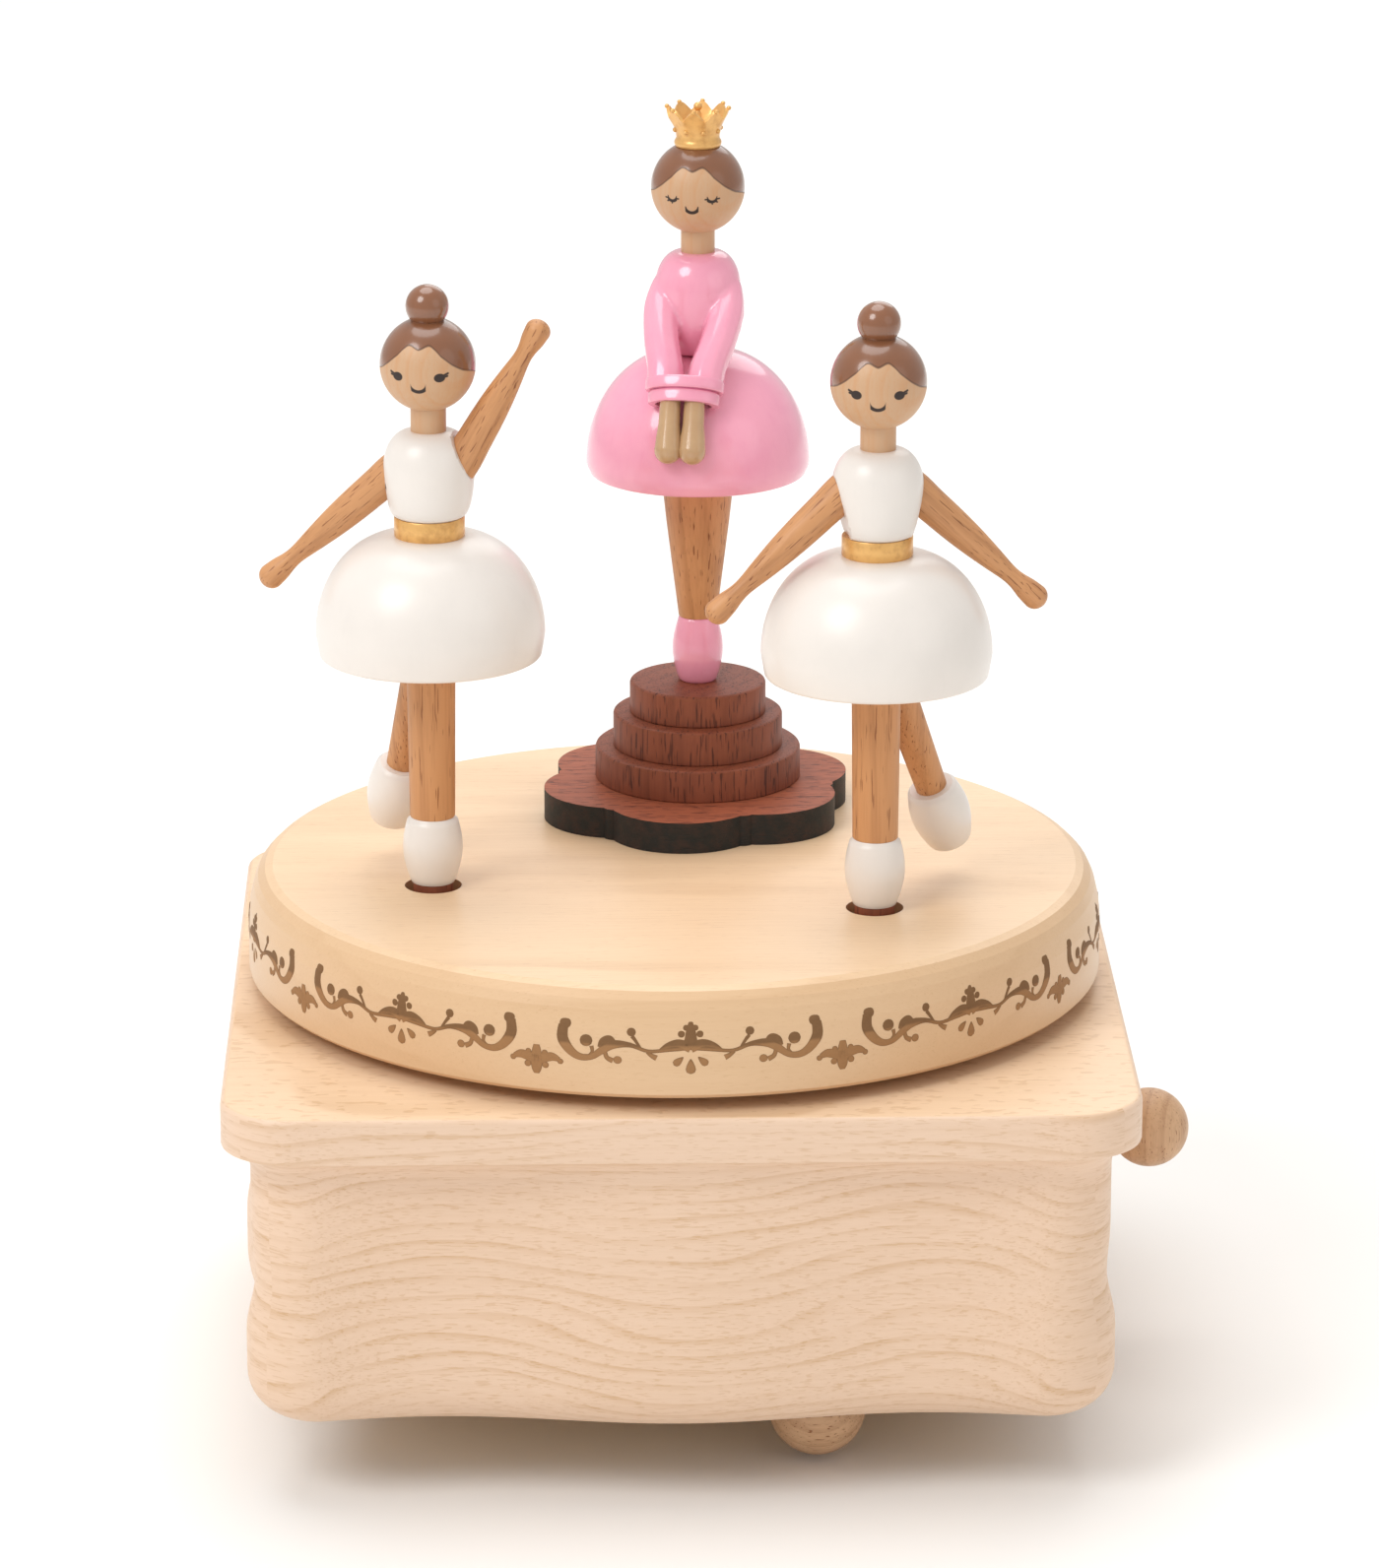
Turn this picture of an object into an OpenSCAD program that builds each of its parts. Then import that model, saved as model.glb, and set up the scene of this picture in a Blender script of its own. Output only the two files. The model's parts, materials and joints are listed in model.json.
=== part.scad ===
// Wooden music box with a turning stage: two dancers on geared pegs, a crowned
// dancer on a stepped pedestal, and a small drawer in the right-hand side.
// Origin: the axis of the turntable at floor level. +Z is up, the front is -Y.

/* [Case] */
// Side of the square top board
top_w = 125; // [120:1:135]
// Clearance under the case
foot_h = 11; // [10.6:0.2:14]
// Height of the case from its underside to the top face of the lid
case_h = 46.5; // [46:0.5:52]
// Thickness of the top board, with its moulded edge
top_t = 11; // [10:0.5:12]
// Mean half width of the serpentine walls
wall_mid = 59.6; // [59.4:0.1:60.2]
// Swell of the serpentine walls to each side of the mean
wall_swell = 1.7; // [0:0.1:1.7]
// Half width of the square space inside the case
pocket = 54; // [53.8:0.1:54.4]
// Half width of the opening in the underside, inside the rounded lower edge
opening = 51; // [50.6:0.1:51.2]

/* [Turntable] */
// Outer radius of the turntable
disc_r = 60.3; // [60:0.1:61]
// Thickness of the turntable
disc_h = 15; // [15:0.5:17]
// Gap between the top board and the turntable
disc_gap = 2; // [1.8:0.1:2.4]
// Diameter of the openings round the dancers' pegs
peg_hole_d = 8; // [7.8:0.1:8.4]
// Diameter of the dancers' pegs
peg_d = 5.6; // [5:0.1:6]

/* [Dancers] */
// Direction of the left dancer from the turntable's axis
left_bearing = -160.6; // [-162:0.2:-158]
// Direction of the right dancer
right_bearing = -40.6; // [-42:0.2:-38]
// Diameter of a dancer's skirt
skirt_d = 31.8; // [28:0.2:32]
// Diameter of a dancer's head
head_d = 13.2; // [12:0.1:14]
// How far the left dancer is turned from facing forwards
left_turn = -10; // [-20:1:20]
// How far the right dancer is turned
right_turn = 9; // [-20:1:20]

/* [Pedestal dancer] */
// Distance of the pedestal from the turntable's axis
pedestal_x = 3.9; // [3:0.1:5]
// Distance of the pedestal behind the turntable's axis
pedestal_y = 26; // [25:0.1:27]
// How far the crowned dancer is turned from facing forwards
queen_turn = -10; // [-20:1:20]

/* [Drawer] */
// Width of the drawer front
drawer_w = 44; // [40:1:44]
// Height of the drawer front
drawer_h = 19.2; // [18:0.2:19.2]
// Height of the drawer front's centre above the floor
drawer_z = 33.5; // [33.3:0.1:33.7]

/* [Hidden] */
$fn = 96;

eps = 0.01;
// Levels above the floor
case_z = foot_h;
top_z = case_z + case_h;
seam_z = top_z - top_t;
disc_z = top_z + disc_gap;
stage_z = disc_z + disc_h;

// Case outline
corner_r = 10;
corner_at = wall_mid - corner_r;
wave_l = corner_at / 0.75;
bottom_round = 6.5;
belly_z = case_z + 12;
waist_z = belly_z + 8;
waist_in = 1.3;
lid_corner_r = 10;
edge_h = 6.5;
board_t = 4;
board_z = case_z + 1.5;
bed_z = board_z + board_t;
bed_t = 3.5;

// Foot frame
foot_w = 88;
foot_d = 64;
foot_y = 13;
foot_rail = 7;
foot_corner_r = 3;

// Gear train: the sun gear is fixed on the lid and the dancers' pinions roll round it,
// and the rim of the spring barrel drives the gear at the foot of the spindle
gear_module = 1;
sun_teeth = 48;
pinion_teeth = 24;
drive_teeth = 71;
barrel_teeth = 21;
sun_r = gear_module * sun_teeth / 2;
pinion_r = gear_module * pinion_teeth / 2;
orbit_r = sun_r + pinion_r;
drive_r = gear_module * drive_teeth / 2;
barrel_r = gear_module * barrel_teeth / 2;
knob_x = 19;
knob_y = -sqrt(pow(drive_r + barrel_r, 2) - knob_x * knob_x);
knob_r = 6.75;
mesh_bearing = atan2(knob_y, knob_x);
knob_z = case_z - 3.2;
sun_z = top_z + 2.3;
sun_face = 3;
pinion_z = sun_z + 0.3;
pinion_t = 2.4;
drive_z = seam_z - 3.2;
drive_t = 2.4;
web_z = disc_z + 6;
recess_r = 50.5;
spindle_d = 6;

// Drawer
slide_gap = 0.4;
tray_z = drawer_z - 8.2;
tray_h = 15.6;
tray_w = 40;
tray_x0 = 18;
front_x = 53.6;
ball_r = 5.66;
ball_x = 68.1;

// Dancer levels above the stage
shoe_h = 9.6;
shoe_z = 0.6;
skirt_z = 33.7;
leg_top = skirt_z + 4;
skirt_top = 50.7;
belt_h = 2.8;
torso_z = skirt_top + belt_h;
torso_top = 65.6;
head_z = 75;
bun_z = 83.1;
bun_r = 3;
crown_cut = 81.2;
hip = [0, 2.5, 40];

// Pedestal levels above the stage
plaque_t = 4.5;
plaque_shift = 2;
lobe_r = 10.8;
lobe_at = 11.8;
bead_r = 1.7;
bead_at = 18.3;
tier_r = [14.8, 12.2, 9.8];
tier_z = [plaque_t, 9.2, 14.2, 18.8];
queen_z = tier_z[3];
queen_skirt_z = 49.8;
queen_skirt_top = 67.5;
queen_head_z = 91.3;
queen_head_r = 6.65;

// ---- outlines ---------------------------------------------------------

// Half width of the case's belly at a distance t from the middle of a side, with a share k of the swell
function wall(t, k = 1) = wall_mid + k * wall_swell * cos(360 * t / wave_l);

// How far the walls draw in above the belly, and how much of the swell is left there
function ease(x) = let (t = min(1, max(0, x))) t * t * (3 - 2 * t);
function draw_in(z) = waist_in * ease((z - belly_z) / (waist_z - belly_z)) - 0.4 * ease((z - waist_z) / 7);
function swell_left(z) = 1 - 0.4 * ease((z - belly_z) / 15);

function turn2(p, a) = [p[0] * cos(a) - p[1] * sin(a), p[0] * sin(a) + p[1] * cos(a)];

// Plan of the serpentine walls at a height, drawn in by d more
function case_plan(z, more = 0) = let (d = draw_in(z) + more, k = swell_left(z)) [
  for (side = [0:3]) each concat(
    [for (i = [-16:15]) turn2([wall(corner_at * i / 16, k) - d, corner_at * i / 16], 90 * side)],
    [for (i = [0:7]) turn2([corner_at + (corner_r - d) * cos(90 * i / 8),
                            corner_at + (corner_r - d) * sin(90 * i / 8)], 90 * side)])];

// Plan of the square lid, drawn in by d, with as many points as case_plan
function lid_plan(d) = let (h = top_w / 2, c = h - lid_corner_r) [
  for (side = [0:3]) each concat(
    [for (i = [-16:15]) turn2([h - d, c * i / 16], 90 * side)],
    [for (i = [0:7]) turn2([c + (lid_corner_r - d) * cos(90 * i / 8),
                            c + (lid_corner_r - d) * sin(90 * i / 8)], 90 * side)])];

function blend(a, b, k) = [for (i = [0:len(a) - 1]) a[i] * (1 - k) + b[i] * k];

// A closed skin over rings of equal length, given as [[height, plan], ...]
module skin(rings) {
  n = len(rings[0][1]);
  last = len(rings) - 1;
  points = [for (r = rings) each [for (p = r[1]) [p[0], p[1], r[0]]]];
  sides = [for (k = [0:last - 1]) each [for (i = [0:n - 1])
    let (a = k * n + i, b = k * n + (i + 1) % n) [a, b, b + n, a + n]]];
  polyhedron(points, [for (f = concat([[for (i = [n - 1:-1:0]) i]], sides,
    [[for (i = [0:n - 1]) last * n + i]])) [for (i = [len(f) - 1:-1:0]) f[i]]]);
}

// Involute teeth, with the backlash shared between their flanks
function inv(a) = tan(a) - a * PI / 180;
function flank(r, rb, half0, r_base_ang) = let (a = acos(min(1, rb / r)))
  [r, half0 - (inv(a) - r_base_ang) * 180 / PI];

module gear_2d(teeth, m, bore_d = 0, phase = 0) {
  rp = m * teeth / 2;
  rb = rp * cos(20);
  ra = rp + 0.9 * m;
  rf = rp - 1.2 * m;
  half_pitch = 90 / teeth - 1.6 / teeth;
  r0 = max(rb, rf);
  radii = [r0, (r0 + rp) / 2, rp, (rp + ra) / 2, ra];
  flanks = [for (r = radii) flank(r, rb, half_pitch, inv(20))];
  difference() {
    polygon([for (t = [0:teeth - 1]) let (c = phase + 360 * t / teeth) each concat(
      [[rf * cos(c - flanks[0][1]), rf * sin(c - flanks[0][1])]],
      [for (f = flanks) [f[0] * cos(c - f[1]), f[0] * sin(c - f[1])]],
      [for (k = [4:-1:0]) let (f = flanks[k]) [f[0] * cos(c + f[1]), f[0] * sin(c + f[1])]],
      [[rf * cos(c + flanks[0][1]), rf * sin(c + flanks[0][1])]])]);
    if (bore_d > 0) circle(d = bore_d);
  }
}

// ---- case -------------------------------------------------------------

// The lid above the seam: a square board whose edge coves in to the walls
module case_top() color("burlywood") difference() {
  lip_z = top_z - edge_h;
  drop = lip_z - seam_z;
  skin(concat(
    [for (i = [0:6]) let (a = 15 * i) [seam_z + drop * sin(a), blend(case_plan(seam_z), lid_plan(0.4), 1 - cos(a))]],
    [[lip_z + 0.4, lid_plan(0)], [top_z - 0.9, lid_plan(0)],
     [top_z - 0.3, lid_plan(0.25)], [top_z, lid_plan(0.9)]]));
  translate([0, 0, seam_z - 1]) cylinder(d = 10, h = top_t + 2);
}

module case_walls() color("bisque") difference() {
  skin(concat([[case_z - 1, case_plan(case_z, bottom_round)]],
    [for (i = [0:6]) let (a = 15 * i)
      [case_z + bottom_round * (1 - cos(a)), case_plan(case_z, bottom_round * (1 - sin(a)))]],
    [for (i = [0:11]) let (z = belly_z + i * (waist_z + 7 - belly_z) / 11) [z, case_plan(z)]],
    [[seam_z + 1, case_plan(seam_z)]]));
  for (z = [seam_z, case_z - top_w]) translate([-top_w, -top_w, z]) cube([2 * top_w, 2 * top_w, top_w]);
  linear_extrude(bed_z) square(2 * opening, center = true);
  translate([0, 0, bed_z]) linear_extrude(case_h) difference() {
    square(2 * pocket, center = true);
    for (x = [-1, 1], y = [-1, 1]) translate([x * (pocket - block_w / 2), y * (pocket - block_w / 2)])
      square(block_w, center = true);
  }
  translate([pocket - 1, -drawer_w / 2 - slide_gap, drawer_z - drawer_h / 2 - slide_gap])
    cube([20, drawer_w + 2 * slide_gap, drawer_h + 2 * slide_gap]);
}

// The board that closes the case, with a round recess for the winding knob
module bottom_board() color("tan") difference() {
  translate([0, 0, board_z]) linear_extrude(board_t) square(2 * (opening - 0.3), center = true);
  translate([knob_x, knob_y, board_z - 1]) cylinder(r = knob_r + 1.5, h = board_t + 2);
  for (p = board_screw_at) translate([p[0], p[1], board_z - 1]) cylinder(d = 2.4, h = board_t + 2);
  for (p = bed_screw_at) translate([p[0], p[1], board_z - 1]) cylinder(d = 2.6, h = board_t + 2);
}

block_w = 12;
board_screw_at = [for (x = [-1, 1], y = [-1, 1]) [x * (pocket - block_w / 2), y * (pocket - block_w / 2)]];

// Round-head screws through the bottom board, each in its own corner block
module base_screws() color("silver") for (p = board_screw_at) translate([p[0], p[1], 0]) {
  translate([0, 0, board_z - 1.3]) cylinder(d = 4.6, h = 1.3);
  translate([0, 0, board_z - eps]) cylinder(d = 2.4, h = board_t + 6);
}

// A frame of four rails that the case stands on, set well behind the front edge
module foot_frame() color("tan") translate([0, foot_y]) linear_extrude(board_z) difference() {
  union() {
    square([foot_w - 2 * foot_corner_r, foot_d], center = true);
    square([foot_w, foot_d - 2 * foot_corner_r], center = true);
    for (x = [-1, 1], y = [-1, 1])
      translate([x * (foot_w / 2 - foot_corner_r), y * (foot_d / 2 - foot_corner_r)]) circle(foot_corner_r);
  }
  square([foot_w - 2 * foot_rail, foot_d - 2 * foot_rail], center = true);
}

// A shelf and two fences that the drawer runs in
module drawer_guide() color("wheat") translate([14, 0, 0]) rotate([90, 0, 90])
  linear_extrude(front_x - slide_gap - 14) difference() {
    translate([-25.5, bed_z]) square([51, tray_z + tray_h + 0.6 - bed_z]);
    translate([-20 - slide_gap, tray_z - 0.3]) square([40 + 2 * slide_gap, tray_h + 5]);
    translate([-22, bed_z - 1]) square([44, tray_z - 2.8 - bed_z + 1]);
  }

// ---- drawer -----------------------------------------------------------

module drawer_box() color("wheat") difference() {
  translate([tray_x0, -tray_w / 2, tray_z]) cube([front_x - tray_x0, tray_w, tray_h]);
  translate([tray_x0 + 2.8, 2.8 - tray_w / 2, tray_z + 2.2])
    cube([front_x - tray_x0 - 2.8 + 1, tray_w - 5.6, tray_h]);
}

// The front follows the swell of the wall and stands a little proud of it
module drawer_front() color("bisque") translate([0, 0, drawer_z - drawer_h / 2]) difference() {
  linear_extrude(drawer_h) polygon(concat(
    [[front_x, drawer_w / 2], [front_x, -drawer_w / 2]],
    [for (i = [-10:10]) let (t = drawer_w * i / 20) [wall(t) + 1 - (abs(i) == 10 ? 0.4 : 0), t]]));
  translate([50, 0, drawer_h / 2]) rotate([0, 90, 0]) cylinder(d = 3, h = 20);
}

module drawer_knob() color("peru") translate([0, 0, drawer_z]) rotate([0, 90, 0]) rotate_extrude()
  polygon(concat([[0, front_x], [1.5, front_x], [1.5, wall(0) + 1], [2.6, wall(0) + 1]],
    [for (a = [-62:8:90]) [ball_r * cos(a), ball_x + ball_r * sin(a)]], [[0, ball_x + ball_r]]));

module drawer_lining() color("firebrick") translate([tray_x0 + 3.1, 3.1 - tray_w / 2, tray_z + 2.2])
  cube([front_x - tray_x0 - 3.4, tray_w - 6.2, 1.2]);

// ---- movement ---------------------------------------------------------

cyl_x0 = -27;
cyl_x1 = 1.5;
cyl_r = 6.6;
cyl_y = knob_y;
cyl_z = bed_z + bed_t + 11.6;
cyl_gear_teeth = 42;
cyl_gear_m = 0.5;
gov_teeth = 12;
gov_y = cyl_y + cyl_gear_m * (cyl_gear_teeth + gov_teeth) / 2;
bed_y0 = -53.4;
bed_y1 = -21;

module bedplate() color("goldenrod") translate([0, 0, bed_z]) linear_extrude(bed_t) difference() {
  polygon([[-40, bed_y0], [31, bed_y0], [31, -29], [12, -29], [12, bed_y1], [-40, bed_y1]]);
  translate([knob_x, knob_y]) circle(d = 4.1);
  for (p = bed_screw_at) translate([p[0], p[1]]) circle(d = 2.6);
  for (x = comb_screw_x) translate([x, comb_y1 - 3]) circle(d = 1.8);
}

bed_screw_at = [[-37.5, -48], [-30, -23.7], [9, -24], [28, -48.5]];
comb_screw_x = [-21, -5];
comb_y0 = cyl_y + cyl_r + 1.1;
comb_y1 = -23.2;
comb_z = cyl_z - 0.6;

// Four screws come up through the bottom board, and two hold the comb
module movement_screws() color("silver") {
  for (p = bed_screw_at) translate([p[0], p[1], board_z - 1.2]) {
    cylinder(d = 2.6, h = 1.2 + board_t + bed_t);
    cylinder(d = 4.4, h = 1.2);
  }
  for (x = comb_screw_x) translate([x, comb_y1 - 3, bed_z]) {
    cylinder(d = 1.8, h = comb_z + 1.2 - bed_z);
    translate([0, 0, comb_z + 1.2 - bed_z]) cylinder(d = 3.6, h = 1.2);
  }
}

// Eighteen tuned teeth on a heel that stands on the bedplate
module music_comb() color("lightsteelblue") difference() {
  union() {
    translate([cyl_x0 + 1, comb_y1 - 5.5, bed_z + bed_t]) cube([27, 5.5, comb_z + 1.2 - bed_z - bed_t]);
    for (i = [0:17]) translate([cyl_x0 + 1 + 1.5 * i + 0.2, comb_y0, comb_z])
      cube([1.15, comb_y1 - 5 - comb_y0, 0.9]);
  }
  for (x = comb_screw_x) translate([x, comb_y1 - 3, bed_z]) cylinder(d = 1.8, h = 40);
}

// Two cheeks that carry the cylinder, and the post of the governor
module bearing_frame() color("goldenrod") difference() {
  union() {
    for (x = [-35.2, 3.2]) translate([x, cyl_y - 4, bed_z + bed_t]) cube([2, 8, cyl_z + 3.5 - bed_z - bed_t]);
    translate([-35.2, gov_y - 3, bed_z + bed_t]) cube([2, 6, cyl_z + 3 - bed_z - bed_t]);
    translate([-35.2, cyl_y, bed_z + bed_t]) cube([2, gov_y - cyl_y, 5]);
    translate([-27.1, gov_y - 2, bed_z + bed_t]) cube([1, 4, cyl_z + 2 - bed_z - bed_t]);
  }
  translate([-40, cyl_y, cyl_z]) rotate([0, 90, 0]) cylinder(d = 2.1, h = 50);
  translate([-40, gov_y, cyl_z]) rotate([0, 90, 0]) cylinder(d = 1.3, h = 14);
}

barrel_z0 = bed_z + bed_t + 0.6;
barrel_z1 = drive_z - 0.2;

// A drum for the mainspring, with the gear that drives the turntable on its rim
module spring_barrel() color("gold") translate([knob_x, knob_y, 0]) {
  difference() {
    translate([0, 0, barrel_z0]) cylinder(r = 10.6, h = barrel_z1 - barrel_z0);
    translate([0, 0, barrel_z0 + 1]) cylinder(r = 9.6, h = barrel_z1 - barrel_z0 - 2);
    translate([0, 0, barrel_z0 - 1]) cylinder(d = 4.1, h = 40);
  }
  translate([0, 0, barrel_z1 - eps]) linear_extrude(drive_z + drive_t - barrel_z1)
    gear_2d(barrel_teeth, gear_module, 4.1, mesh_bearing + 180 + 180 / barrel_teeth);
}

module winding_arbor() color("silver") translate([knob_x, knob_y, 0]) {
  translate([0, 0, knob_z + 2]) cylinder(d = 4, h = drive_z - 1 - knob_z);
  translate([0, 0, bed_z + 0.2 - 1.2]) cylinder(d = 7, h = 1);
}

module winding_knob() color("peru") translate([knob_x, knob_y, knob_z]) difference() {
  rotate_extrude() polygon(concat([[0, -knob_r]],
    [for (a = [-82:8:54]) [knob_r * cos(a), knob_r * sin(a)]], [[knob_r * cos(54), 6.6], [0, 6.6]]));
  translate([0, 0, 2]) cylinder(d = 4, h = 10);
}

module pin_cylinder() color("gold") translate([0, cyl_y, cyl_z]) rotate([0, 90, 0]) {
  translate([0, 0, -36]) cylinder(d = 2, h = 42);
  translate([0, 0, cyl_x0]) cylinder(r = cyl_r, h = cyl_x1 - cyl_x0);
  for (i = [0:17]) rotate([0, 0, 47 * i + 20]) translate([0, 0, cyl_x0 + 2 + 1.5 * i])
    rotate([0, 90, 0]) cylinder(d = 0.5, h = cyl_r + 0.55, $fn = 6);
  translate([0, 0, -31.6]) linear_extrude(1.8) gear_2d(cyl_gear_teeth, cyl_gear_m, 0, 0);
}

module governor() color("lightgrey") translate([0, gov_y, cyl_z]) rotate([0, 90, 0]) {
  translate([0, 0, -35.2]) cylinder(d = 1.2, h = 8.6);
  translate([0, 0, -31.6]) linear_extrude(1.8) gear_2d(gov_teeth, cyl_gear_m, 0, 0);
  translate([0, 0, -29.2]) linear_extrude(1.8) square([8, 0.8], center = true);
}

// ---- turntable --------------------------------------------------------

module turntable() color("burlywood") difference() {
  rotate_extrude($fn = 180) polygon([
    [spindle_d / 2, disc_z + 1.6], [9, disc_z + 1.6], [9, web_z], [recess_r, web_z], [recess_r, disc_z],
    [disc_r - 0.6, disc_z], [disc_r, disc_z + 0.6], [disc_r, stage_z - 8], [disc_r - 0.2, stage_z - 5.3],
    [disc_r - 0.8, stage_z - 2.8], [disc_r - 1.4, stage_z - 1.5], [disc_r - 2.4, stage_z - 0.5],
    [disc_r - 3.5, stage_z], [0, stage_z], [0, stage_z - 3],
    [spindle_d / 2, stage_z - 3]]);
  for (b = [left_bearing, right_bearing]) rotate([0, 0, b]) translate([orbit_r, 0, web_z - 1])
    cylinder(d = peg_hole_d, h = 20);
}

module spindle() color("silver") {
  translate([0, 0, drive_z - 1.6]) cylinder(d = spindle_d, h = stage_z - 3 - drive_z + 1.6);
  translate([0, 0, drive_z - 1.6]) cylinder(d = 9, h = 1.6);
}

module drive_gear() color("gold") translate([0, 0, drive_z]) linear_extrude(drive_t)
  gear_2d(drive_teeth, gear_module, spindle_d, mesh_bearing);

// A flanged brass bush in the top board: the turntable's hub rests on its rim
module lid_bush() color("gold") difference() {
  union() {
    translate([0, 0, seam_z + 0.1]) cylinder(d = 10, h = top_t);
    translate([0, 0, top_z]) cylinder(d = 16, h = 1.6 + disc_gap - 0.1);
  }
  translate([0, 0, seam_z - 1]) cylinder(d = spindle_d + 0.1, h = 30);
}

// Fixed on the lid, so that the dancers' pinions roll round it
module sun_gear() color("gold") difference() {
  union() {
    translate([0, 0, top_z]) cylinder(r = 20, h = sun_z - top_z);
    translate([0, 0, sun_z]) linear_extrude(sun_face) gear_2d(sun_teeth, gear_module, 0, left_bearing);
  }
  translate([0, 0, top_z - 1]) cylinder(d = 20, h = 20);
}

module peg_bushes() color("gold") for (b = [left_bearing, right_bearing])
  rotate([0, 0, b]) translate([orbit_r, 0, 0]) difference() {
    union() {
      translate([0, 0, web_z - 1.6]) cylinder(d = 12, h = 1.6);
      translate([0, 0, web_z - eps]) cylinder(d = peg_hole_d, h = disc_h - 6 - 3);
    }
    translate([0, 0, web_z - 3]) cylinder(d = peg_d + 0.1, h = 20);
  }

// ---- pedestal ---------------------------------------------------------

module at_pedestal() translate([pedestal_x, pedestal_y, stage_z]) children();
module on_pedestal() at_pedestal() rotate([0, 0, queen_turn]) children();

// Six round lobes with a small bead in each of the valleys between them
module plaque_plan() for (i = [0:5]) rotate(60 * i) {
  translate([0, -lobe_at]) circle(r = lobe_r);
  rotate(30) translate([0, -bead_at]) circle(r = bead_r);
}

module pedestal_plaque() color("sienna") on_pedestal() translate([0, -plaque_shift, 0])
  linear_extrude(plaque_t) plaque_plan();

module tier(k) color("sienna") let (h = tier_z[k + 1] - tier_z[k]) at_pedestal()
  translate([0, 0, tier_z[k]]) rotate_extrude()
    polygon([[0, 0], [tier_r[k], 0], [tier_r[k], h - 0.4], [tier_r[k] - 0.4, h], [0, h]]);

// ---- crowned dancer ---------------------------------------------------

module queen_shoe() color("hotpink") on_pedestal() rotate_extrude() polygon(concat([[0, queen_z]],
  [for (i = [0:8]) [2.7 + 0.95 * sin(180 * i / 8), queen_z + shoe_h * i / 8]], [[0, queen_z + shoe_h]]));

module queen_leg() color("peru") on_pedestal() rotate_extrude() polygon([[0, queen_z + shoe_h],
  [2.75, queen_z + shoe_h], [5.3, queen_skirt_z], [5.75, queen_skirt_z + 3], [0, queen_skirt_z + 3]]);

// A turned dome over an upright lip of height h
function dome(r, z0, z1, rt, h) = concat([[r - 0.9, z0], [r - 0.35, z0 + 0.35]],
  [for (i = [0:10]) let (a = 9 * i) [rt + (r - rt) * cos(a), z0 + h + (z1 - z0 - h) * sin(a)]]);

module queen_skirt() color("hotpink") on_pedestal()
  rotate_extrude() polygon(concat([[0, queen_skirt_z + 3], [13, queen_skirt_z + 3], [13.6, queen_skirt_z]],
    dome(16, queen_skirt_z, queen_skirt_top, 2.6, 1.5), [[0, queen_skirt_top]]));

module arm_rod(a, b, ra, rb) hull() {
  translate(a) sphere(r = ra, $fn = 24);
  translate(b) sphere(r = rb, $fn = 24);
}

function egg(r0, z0, rm, zm, r1, z1) = concat(
  [for (i = [0:6]) let (a = 15 * i) [r0 + (rm - r0) * sin(a), z0 + (zm - z0) * (1 - cos(a))]],
  [for (i = [1:6]) let (a = 15 * i) [r1 + (rm - r1) * cos(a), zm + (z1 - zm) * sin(a)]]);

// The bodice with two joined sleeves that come down in front to double cuffs
module queen_bodice() color("hotpink") on_pedestal() difference() {
  union() {
    rotate_extrude() polygon(concat([[0, queen_skirt_top]], egg(4.3, queen_skirt_top, 6.1, 76.8, 2.6, 82),
      [[0, 82]]));
    for (s = [-1, 1]) arm_rod([4 * s, -1.5, 76.5], [2.3 * s, -12.3, 66.5], 2.6, 2.2);
    translate([0, -12.6, 64.2]) rotate([-28, 0, 0]) {
      cylinder(r = 4.9, h = 2);
      translate([0, 0, -1.8]) cylinder(r = 4.3, h = 1.9);
    }
  }
  translate([0, 0, 70]) cylinder(d = 4.8, h = 20);
  on_axis_skirt_clear();
}

// Keeps the cuffs off the dome of the skirt
module on_axis_skirt_clear() rotate_extrude() polygon(concat([[0, 45], [16.2, 45]],
  dome(16.2, queen_skirt_z, queen_skirt_top, 2.6, 1.5), [[0, queen_skirt_top]]));

module queen_hands() color("tan") on_pedestal() difference() {
  for (s = [-1, 1]) arm_rod([1.65 * s, -14.6, 62.4], [1.65 * s, -16.6, 56.6], 1.55, 1.9);
  translate([0, -12.6, 64.2]) rotate([-28, 0, 0]) translate([0, 0, -1.8]) cylinder(r = 4.3, h = 10);
  on_axis_skirt_clear();
}

module queen_head() color("burlywood") on_pedestal() difference() {
  union() {
    translate([0, 0, queen_head_z]) sphere(r = queen_head_r);
    translate([0, 0, 76]) cylinder(d = 4.8, h = 12);
  }
  translate([-10, -10, 97.2]) cube([20, 20, 10]);
}

// A flared ring with eight points
module queen_crown() color("gold") on_pedestal() translate([0, 0, 97.2]) difference() {
  rotate_extrude() polygon([[0, 0], [3.15, 0], [3.3, 0.7], [3.2, 1.2], [4.45, 5.2], [3.95, 5.2], [2.9, 1.2],
    [1.2, 1.2], [0.9, 5.2], [0.5, 6.4], [0, 6.4]]);
  for (i = [0:7]) rotate([0, 0, 45 * i]) translate([0, 0, 5.4]) rotate([0, 90, 0])
    translate([0, 0, 1.8]) cylinder(r = 1.2, h = 6, $fn = 4);
}

// ---- the two dancers on pegs ------------------------------------------

module at_dancer(bearing, facing) rotate([0, 0, bearing]) translate([orbit_r, 0, stage_z])
  rotate([0, 0, facing - bearing]) children();

module pinion(bearing) color("gold") rotate([0, 0, bearing]) translate([orbit_r, 0, pinion_z])
  linear_extrude(pinion_t) gear_2d(pinion_teeth, gear_module, peg_d, 180 + 180 / pinion_teeth);

module peg() color("sienna") translate([0, 0, pinion_z - stage_z]) cylinder(d = peg_d, h = stage_z - pinion_z + 4.6);

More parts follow.
